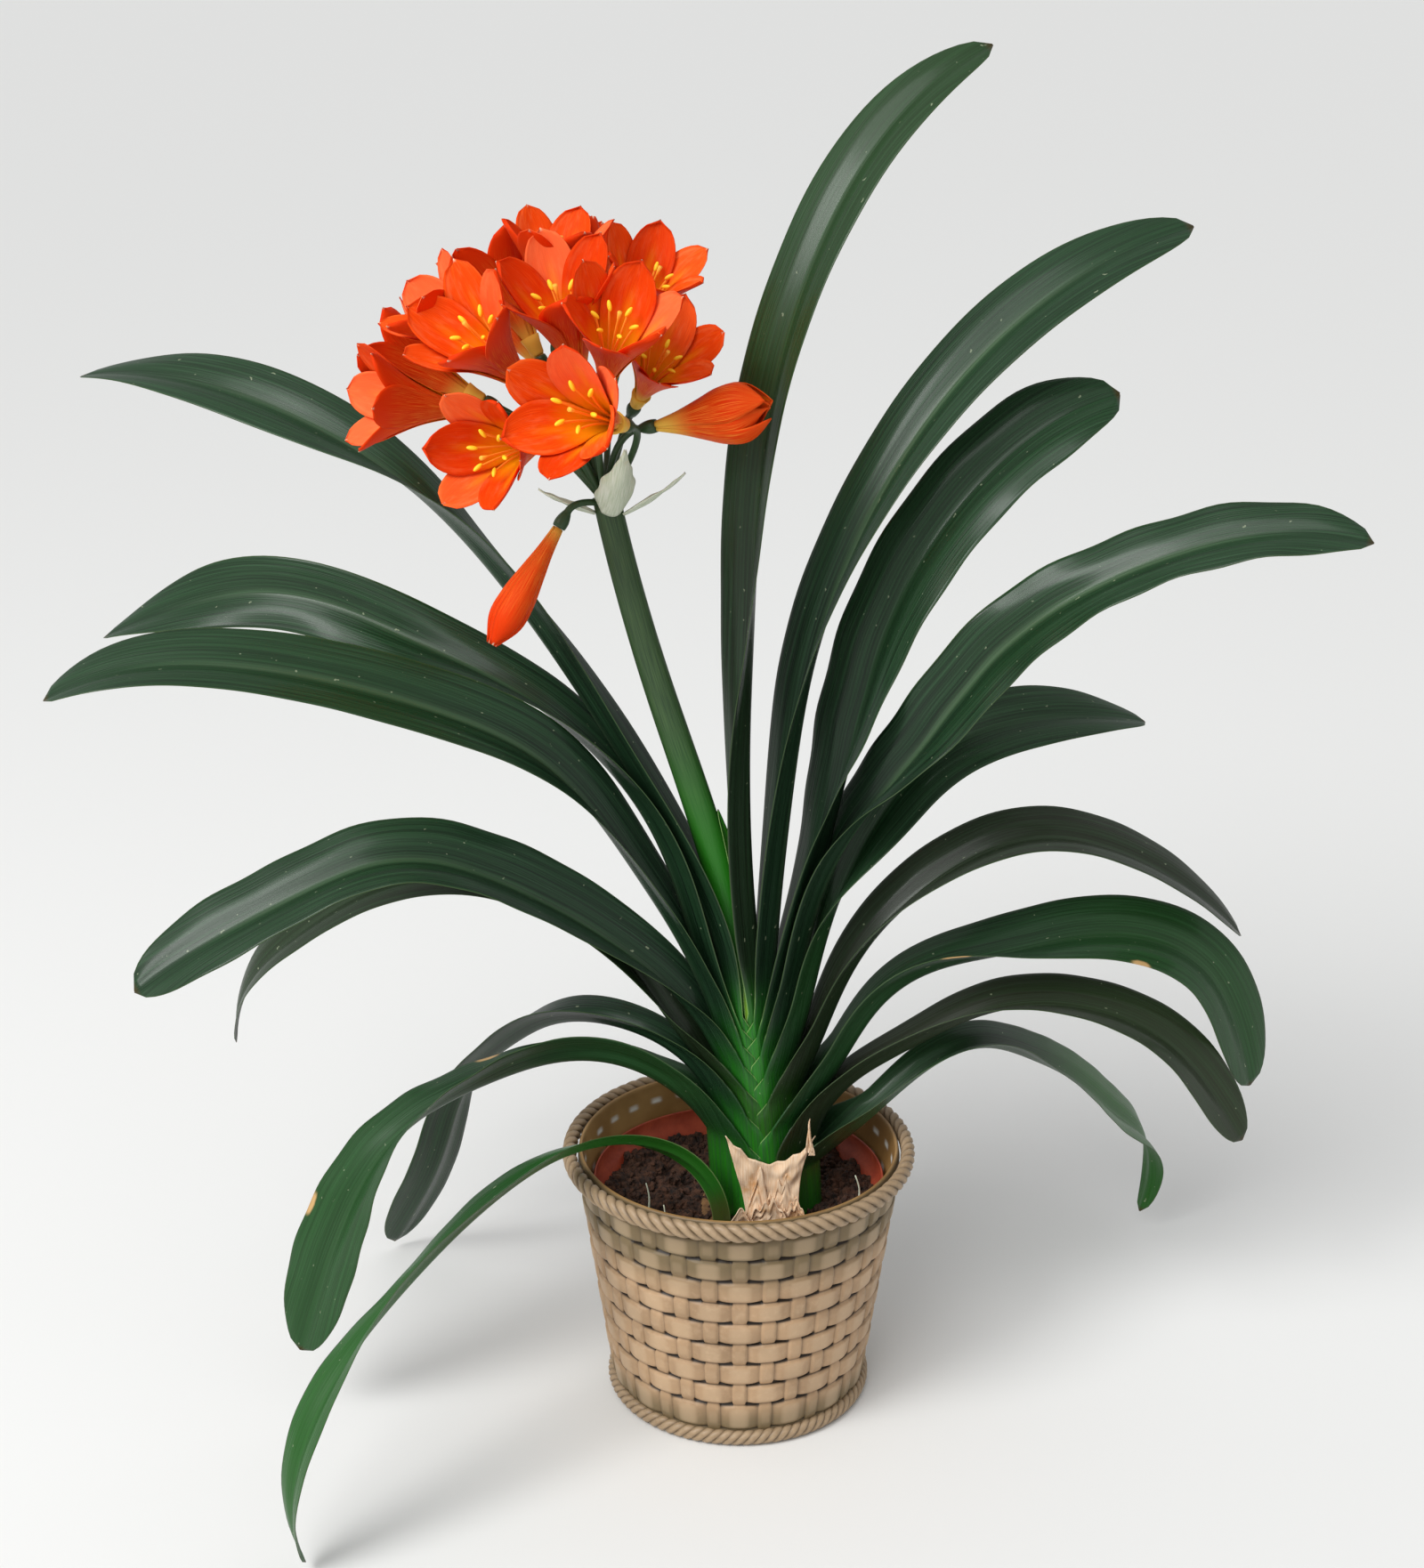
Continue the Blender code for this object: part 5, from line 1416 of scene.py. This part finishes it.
# %% Petals
PETAL_LENGTH, PETAL_FLARE = 0.062, (10, 17, 25, 32, 30)
PETAL_HALF_WIDTHS = (0.0012, 0.0056, 0.0108, 0.0136, 0.0124)
PETAL_FOOT, PETAL_WRAP, PETAL_ROUNDING = (0.0018, 0.005), 58, 0.70
PETAL_ROWS, PETAL_COLUMNS = 26, 13
OUTER_STEP, OUTER_NARROWING = 0.0012, 0.84


def walked(steps):
    return np.concatenate([[0], np.cumsum(steps)])


def petal_grid(outer, curl, seed):
    """Grid of one petal's outer face in the floret's own frame, whose axis is Z."""
    rng = np.random.default_rng(seed)
    share = np.linspace(0, 1, PETAL_ROWS)
    flare = np.radians(along(PETAL_FLARE, share) + curl * ease((share - 0.6) / 0.4))
    step = PETAL_LENGTH / (PETAL_ROWS - 1)
    slope = (flare[1:] + flare[:-1]) / 2
    out = PETAL_FOOT[0] + (OUTER_STEP if outer else 0) + walked(step * np.sin(slope))
    up = PETAL_FOOT[1] + walked(step * np.cos(slope))
    into_tip = np.clip(share - PETAL_ROUNDING, 0, 1) / (1 - PETAL_ROUNDING)
    rounding = np.sqrt(np.clip(1 - into_tip**2.6, 0.0008, 1))
    half = along(PETAL_HALF_WIDTHS, share) * (OUTER_NARROWING if outer else 1.0) * rounding
    wrap = np.minimum(half / out, math.radians(PETAL_WRAP))
    across = np.linspace(-1, 1, PETAL_COLUMNS)
    angle = wrap[:, None] * across
    groove = 0.0006 * np.exp(-(across / 0.16) ** 2) * np.sin(math.pi * share)[:, None]
    phase = rng.uniform(0, 6.28)
    ripple = 0.0007 * across**2 * np.sin(9 * share[:, None] + 2.5 * across + phase) * share[:, None]
    cup = (-0.0004 if outer else -0.0018) * across**2 * ease((share - 0.45) / 0.5)[:, None]
    reach = out[:, None] + groove + ripple + cup
    height = np.broadcast_to(up[:, None], angle.shape)
    return np.stack([reach * np.cos(angle), reach * np.sin(angle), height], -1), share, across


span = np.ptp(petal_grid(False, 0, 1)[0][..., 1])
print("an inner petal is", round(1000 * float(span), 1), "mm wide")

# %% [markdown]
# A petal is closed into a thin body whose edges are thinner than its middle, turned to its place in
# the ring and stood on its floret. What its finish reads goes with it: which side is the throat, the
# way along and across the petal, its pale tip, and a tone of its own, since no two are the same.

# %% A petal in its place
PETAL_THICKNESS, THIN_EDGE = 0.0006, 0.35


def about_axis(points, turn):
    """Points turned round the floret's axis, which is Z."""
    c, s = math.cos(turn), math.sin(turn)
    return points @ np.array(((c, s, 0), (-s, c, 0), (0, 0, 1)))


def stood(points, place):
    return points @ place[:3, :3].T + place[:3, 3]


def add_petal(piece, petal, turn, place, tone=0.5):
    """Turns a petal round the axis, closes it, and stands it on its floret."""
    grid, share, across = petal
    grid = about_axis(grid, turn)
    rows, columns, _ = grid.shape
    middle = np.sin(math.pi * np.linspace(0.06, 0.94, columns))
    thickness = PETAL_THICKNESS * (THIN_EDGE + (1 - THIN_EDGE) * middle)
    points, faces = sheet(grid[:, ::-1], thickness[None])
    flat = np.stack(np.broadcast_arrays(across[::-1][None], share[:, None]), -1).reshape(-1, 2)
    tip = ease((share - 0.985) / 0.015)[:, None] * np.exp(-(across / 0.5) ** 2)
    # The sheet's front is the petal's outer face, and its back is the throat's side.
    numbers = {"share": on_both(share[:, None], grid), "across": on_both(np.abs(across), grid),
               "tip": on_both(tip, grid), "inside": np.repeat((0, 1), rows * columns)}
    piece.add(stood(points, place), faces, np.tile(flat, (2, 1)), tone=tone, **numbers)


def standing(floret):
    """Where a floret stands and which way it looks, as a 4 by 4 matrix."""
    facing = Vector(direction(floret.azimuth, floret.climb))
    turn = facing.to_track_quat("Z", "Y").to_matrix().to_4x4()
    foot = Vector(UMBEL_JOINT + np.array(floret.base) * MILLIMETRE)
    return np.array(Matrix.Translation(foot) @ turn)


print("floret_01 stands at", np.round(standing(FLORETS[0])[:3, 3], 3))

# %% [markdown]
# Six thin filaments lean out of the throat, each with a yellow anther across its tip. All florets
# have the same six, so a recipe makes them once, round a ring of six points, and the mesh is copied
# into each floret with its own turn and sway.

# %% Stamens
ANTHER_TURN, ANTHER_SHAPE, FIRST_STAMEN = (0, 0.9, 0), (0.42, 0.42, 1.0), 0.52


def stamen_recipe(material):
    rule = Recipe("stamens", Count=6, Length=0.046, Lean=0.008, Filament=0.0005, Anther=0.0025)
    length, lean = rule.given("Length"), rule.given("Lean")
    bend, end = rule.vector(lean * 0.1, 0, length * 0.55), rule.vector(lean, 0, length)
    line = rule.node("GeometryNodeCurveQuadraticBezier", sockets={
        "Resolution": 12, "Start": (0.0006, 0, 0.006), "Middle": bend, "End": end})
    section = rule.node("GeometryNodeCurvePrimitiveCircle", {"mode": "RADIUS"},
                        {"Resolution": 6, "Radius": rule.given("Filament")})
    filament = rule.node("GeometryNodeCurveToMesh", sockets={
        "Curve": line, "Profile Curve": section, "Fill Caps": True})
    ball = rule.node("GeometryNodeMeshUVSphere", sockets={
        "Segments": 10, "Rings": 8, "Radius": rule.given("Anther")})
    anther = rule.node("GeometryNodeTransform", sockets={
        "Geometry": ball, "Translation": end, "Rotation": ANTHER_TURN, "Scale": ANTHER_SHAPE})
    stamen = rule.join(rule.keep(filament, "tip", 0.0), rule.keep(anther, "tip", 1.0))
    ring = rule.node("GeometryNodeMeshCircle", sockets={"Vertices": rule.given("Count"), "Radius": 0.0008})
    turn = rule.node("GeometryNodeInputIndex") * math.tau / rule.given("Count") + FIRST_STAMEN
    placed = rule.node("GeometryNodeInstanceOnPoints", sockets={
        "Points": ring, "Instance": stamen, "Rotation": rule.vector(0, 0, turn)})
    rule.close(placed, material)
    return rule


stamen_set = stamen_recipe(stamen_yellow).run("stamen_set", bpy.data.meshes.new("stamen_set"))
stamen_points = np.array([v.co[:] for v in stamen_set.data.vertices])
stamen_faces = [list(face.vertices) for face in stamen_set.data.polygons]
stamen_tip = np.zeros(len(stamen_points))
stamen_set.data.attributes["tip"].data.foreach_get("value", stamen_tip)
bpy.data.objects.remove(stamen_set, do_unlink=True)
print("one floret's stamens:", len(stamen_faces), "faces")

# %% [markdown]
# The petals grow out of a short green-yellow tube, which is turned. Stamens and style sway together,
# by a slant that grows with their height.

# %% What stands inside the petals
TUBE_PROFILE = ((0, 0), (0.0026, 0.0001), (0.0033, 0.0012), (0.0040, 0.006), (0.0050, 0.010),
                (0.0046, 0.0102), (0, 0.0098))
TUBE_SIDES, STYLE_SIDES, MOST_SWAY = 16, 7, 0.05


def add_stamens(piece, place, spin, seed):
    """The six stamens and the style of one floret."""
    sway = np.random.default_rng(seed).uniform(-MOST_SWAY, MOST_SWAY, 2)
    points = about_axis(stamen_points, spin)
    points = points + points[:, 2:] * (*sway, 0)
    piece.add(stood(points, place), stamen_faces, finish=1, tip=stamen_tip)
    share = np.linspace(0, 1, 10)
    x = 0.0012 * share**2 + sway[0] * share * 0.05
    y = -0.0015 * share + sway[1] * share * 0.05
    radii = 0.0005 + 0.0006 * ease((share - 0.92) / 0.08)
    points, faces = tube(np.stack([x, y, 0.006 + 0.047 * share], 1), radii, STYLE_SIDES, across=(0.1, 1, 0))
    piece.add(stood(points, place), faces, finish=1, tip=0.15)


tube_points, tube_faces = turned_profile(TUBE_PROFILE, TUBE_SIDES)
print("a floret's tube has", len(tube_faces), "faces")

# %% [markdown]
# Now each open floret is put together: its tube, three outer and three inner petals in turn, and its
# stamens. A few are larger than their solids and one is turned about its axis, so that their petals
# close the head as densely as in the photo.

# %% Open florets
SIZES = {"floret_01": 1.16, "floret_02": 1.08, "floret_08": 1.14, "floret_11": 1.16, "floret_12": 1.07}
SPINS = {"floret_01": 0.52}


def make_open_floret(floret, seed):
    rng = np.random.default_rng(seed)
    place = standing(floret)
    place[:3, :3] *= SIZES.get(floret.name, 1.0)
    piece = Piece(floret.name + "_petals", [petal_orange, stamen_yellow])
    piece.add(stood(tube_points, place), tube_faces, share=0.0, across=0.5)
    for k in range(6):
        petal = petal_grid(k % 2 == 0, rng.uniform(-11, 8), 10 * seed + k)
        turn = math.radians(60 * k) + SPINS.get(floret.name, 0)
        add_petal(piece, petal, turn, place, rng.uniform(0, 1))
    add_stamens(piece, place, rng.uniform(0, 1), seed)
    return piece.make("petal_orange", floret.name)


for k, floret in enumerate(FLORETS):
    if floret.form == "open":
        make_open_floret(floret, k + 1)

# %% [markdown]
# A bud is the same six petals furled into a spindle, so the same step closes them and only the grid
# is another: the distance from the axis is written down, and the petals wrap as far as they need to
# close it. In the half-open one the tips have parted.

# %% Buds
BUD_RADII = {
    "closed": (0.0028, 0.0044, 0.0068, 0.0090, 0.0090, 0.0030),
    "half_open": (0.0028, 0.0058, 0.0098, 0.0138, 0.0142, 0.0060),
}
BUD_LENGTH = {"closed": 0.066, "half_open": 0.060}
BUD_ROUNDING = {"closed": 0.72, "half_open": 0.66}
INNER_DROP = {"closed": 0, "half_open": 0.0040}
LEAST_WRAP = {"closed": 0.35, "half_open": 0}
OUTER_WRAP, INNER_WRAP, BUD_TURN = 52, 46, 20


def bud_petal(form, outer):
    """Grid of one furled petal's face, with the share and the way across for each row and column."""
    share = np.linspace(0, 1, PETAL_ROWS)
    radius = along(BUD_RADII[form], share)
    if not outer:
        radius = radius - 0.0009 - INNER_DROP[form] * ease((share - 0.75) / 0.25)
    across = np.linspace(-1, 1, PETAL_COLUMNS)
    into_tip = np.clip(share - BUD_ROUNDING[form], 0, 1) / (1 - BUD_ROUNDING[form])
    rounding = np.sqrt(np.clip(1 - into_tip**2.2, 0.001, 1))
    wrap = math.radians(OUTER_WRAP if outer else INNER_WRAP) * lerp(LEAST_WRAP[form], 1, rounding)
    angle = wrap[:, None] * across
    ridge = 0.0005 * np.exp(-(across / 0.2) ** 2) * np.sin(math.pi * np.clip(share * 1.1, 0, 1))[:, None]
    reach = np.maximum(radius[:, None] + ridge - 0.0007 * np.abs(across) ** 3, 0.0003)
    height = np.broadcast_to(share[:, None] * BUD_LENGTH[form], angle.shape)
    return np.stack([reach * np.cos(angle), reach * np.sin(angle), height], -1), share, across


def make_bud(floret):
    place = standing(floret)
    piece = Piece(floret.name + "_petals", [petal_orange, stamen_yellow])
    for k in range(6):
        grid, share, across = bud_petal(floret.form, k % 2 == 0)
        # A closed bud's foot is less yellow, and a half-open one is streaked further up.
        share = lerp(0.12, 1, share) if floret.form == "closed" else 0.7 * share
        add_petal(piece, (grid, share, across), math.radians(60 * k + BUD_TURN), place)
    return piece.make("petal_orange", floret.name)


for floret in FLORETS:
    if floret.form != "open":
        make_bud(floret)

# %% [markdown]
# Under the head hang the bracts that wrapped it in bud: thin, whitish and papery. Each is one ragged
# sheet that hollows across its width and lifts towards its tip.

# %% Bracts
BRACT_FOOT = np.array((-0.0651, 0.0115, 0.488))
BRACTS = (
    ("bract_1", 292, 52, 0.040, 0.0150, 0.0054),
    ("bract_2", 345, 25, 0.038, 0.006, 0.0077),
    ("bract_3", 183, 14, 0.030, 0.006, 0.0075),
)
BRACT_OUTLINE, BRACT_THICKNESS = (0.35, 0.66, 0.56, 0.28, 0.02), 0.0004


def make_bract(name, azimuth, climb, length, width, reach):
    facing = direction(azimuth, climb)
    across = np.cross(facing, (0, 0, 1))
    across /= np.linalg.norm(across)
    over = np.cross(across, facing)
    start = BRACT_FOOT + direction(azimuth, 0) * reach
    share, side = np.meshgrid(np.linspace(0, 1, 26), np.linspace(-1, 1, 13), indexing="ij")
    ragged = 1 + 0.13 * np.sin(23 * share + 2 * side) * share
    half = width * ragged * along(BRACT_OUTLINE, share[:, :1])
    ripple = 0.0005 * np.sin(14 * share + 3 * side + azimuth) * share
    lift = length * 0.2 * share**2 + half * 0.6 * side**2 + ripple
    out, off = length * share, half * side
    grid = start + facing * out[..., None] + over * lift[..., None] + across * off[..., None]
    points, faces = sheet(grid[:, ::-1], BRACT_THICKNESS)
    flat = np.tile(np.stack([off, out], -1)[:, ::-1].reshape(-1, 2), (2, 1))
    Piece(name + "_paper", [papery_bract]).add(points, faces, flat).make("papery_bract", name)


for bract in BRACTS:
    make_bract(*bract)

# %% [markdown]
# ## Floor, light and camera
#
# The plant stands on a pale seamless floor. It is one large flat face, far wider than any view, and
# it belongs to the stage, so the part is exported without it.

# %% Floor
FLOOR_REACH = 40
floor_finish = Finish("pale_floor", Specular_IOR_Level=0.2)
floor_finish.set("Base Color", srgb(234, 234, 232))
floor_finish.set("Roughness", 0.9)
floor_mesh = bpy.data.meshes.new("floor")
floor_corners = [(x * FLOOR_REACH, y * FLOOR_REACH, 0) for x, y in ((-1, -1), (1, -1), (1, 1), (-1, 1))]
floor_mesh.from_pydata(floor_corners, [], [(0, 1, 2, 3)])
floor_mesh.materials.append(floor_finish.material)
floor = bpy.data.objects.new("floor", floor_mesh)
bpy.context.scene.collection.objects.link(floor)
print("the floor is", 2 * FLOOR_REACH, "m wide")

# %% [markdown]
# The photo's light is soft daylight from the front left, and the shadows are pale. A sun with a wide
# disc gives the soft main shadow, an area lamp on the same side the broad highlights on the leaves,
# and a pale sky fills the rest. The plain colour transform keeps the oranges saturated.

# %% Light
def soft_light(name, kind, place, power, target=(0, 0, 0.3), **size):
    light = bpy.data.lights.new(name, kind)
    light.energy = power
    for key, value in size.items():
        setattr(light, key, value)
    lamp = bpy.data.objects.new(name, light)
    lamp.location = place
    lamp.rotation_euler = (Vector(target) - Vector(place)).to_track_quat("-Z", "Y").to_euler()
    bpy.context.scene.collection.objects.link(lamp)
    print(f"{name}: {kind.lower()} lamp of strength {power}")


soft_light("daylight", "SUN", (-0.8, -1.1, 1.7), 1.6, angle=math.radians(45))
soft_light("window", "AREA", (-1.5, -1.3, 1.9), 24, shape="DISK", size=1.0)
world = bpy.data.worlds.new("daylight")
world.use_nodes = True
sky = Tree(world.node_tree)
background = sky.nodes["Background"]
background.inputs["Color"].default_value = (0.975, 0.985, 1.0, 1)
background.inputs["Strength"].default_value = 0.56
bpy.context.scene.world = world
bpy.context.scene.view_settings.view_transform = "Standard"

# %% [markdown]
# The camera stands a little over a metre in front and looks slightly down, so that the rim of the pot
# is an open ellipse and the soil shows inside it. Its place and lens were fitted to the photo's pot.

# %% Camera
lens = bpy.data.cameras.new("camera")
lens.lens = 55.17
lens.sensor_width = 36
lens.clip_end = 200
camera = bpy.data.objects.new("camera", lens)
camera.location = (-0.0144, -1.158, 0.762)
camera.rotation_euler = (math.radians(70.4), 0, 0)
bpy.context.scene.collection.objects.link(camera)
bpy.context.scene.camera = camera
print(f"camera at {camera.location[:]}, lens of {lens.lens:.1f} mm")
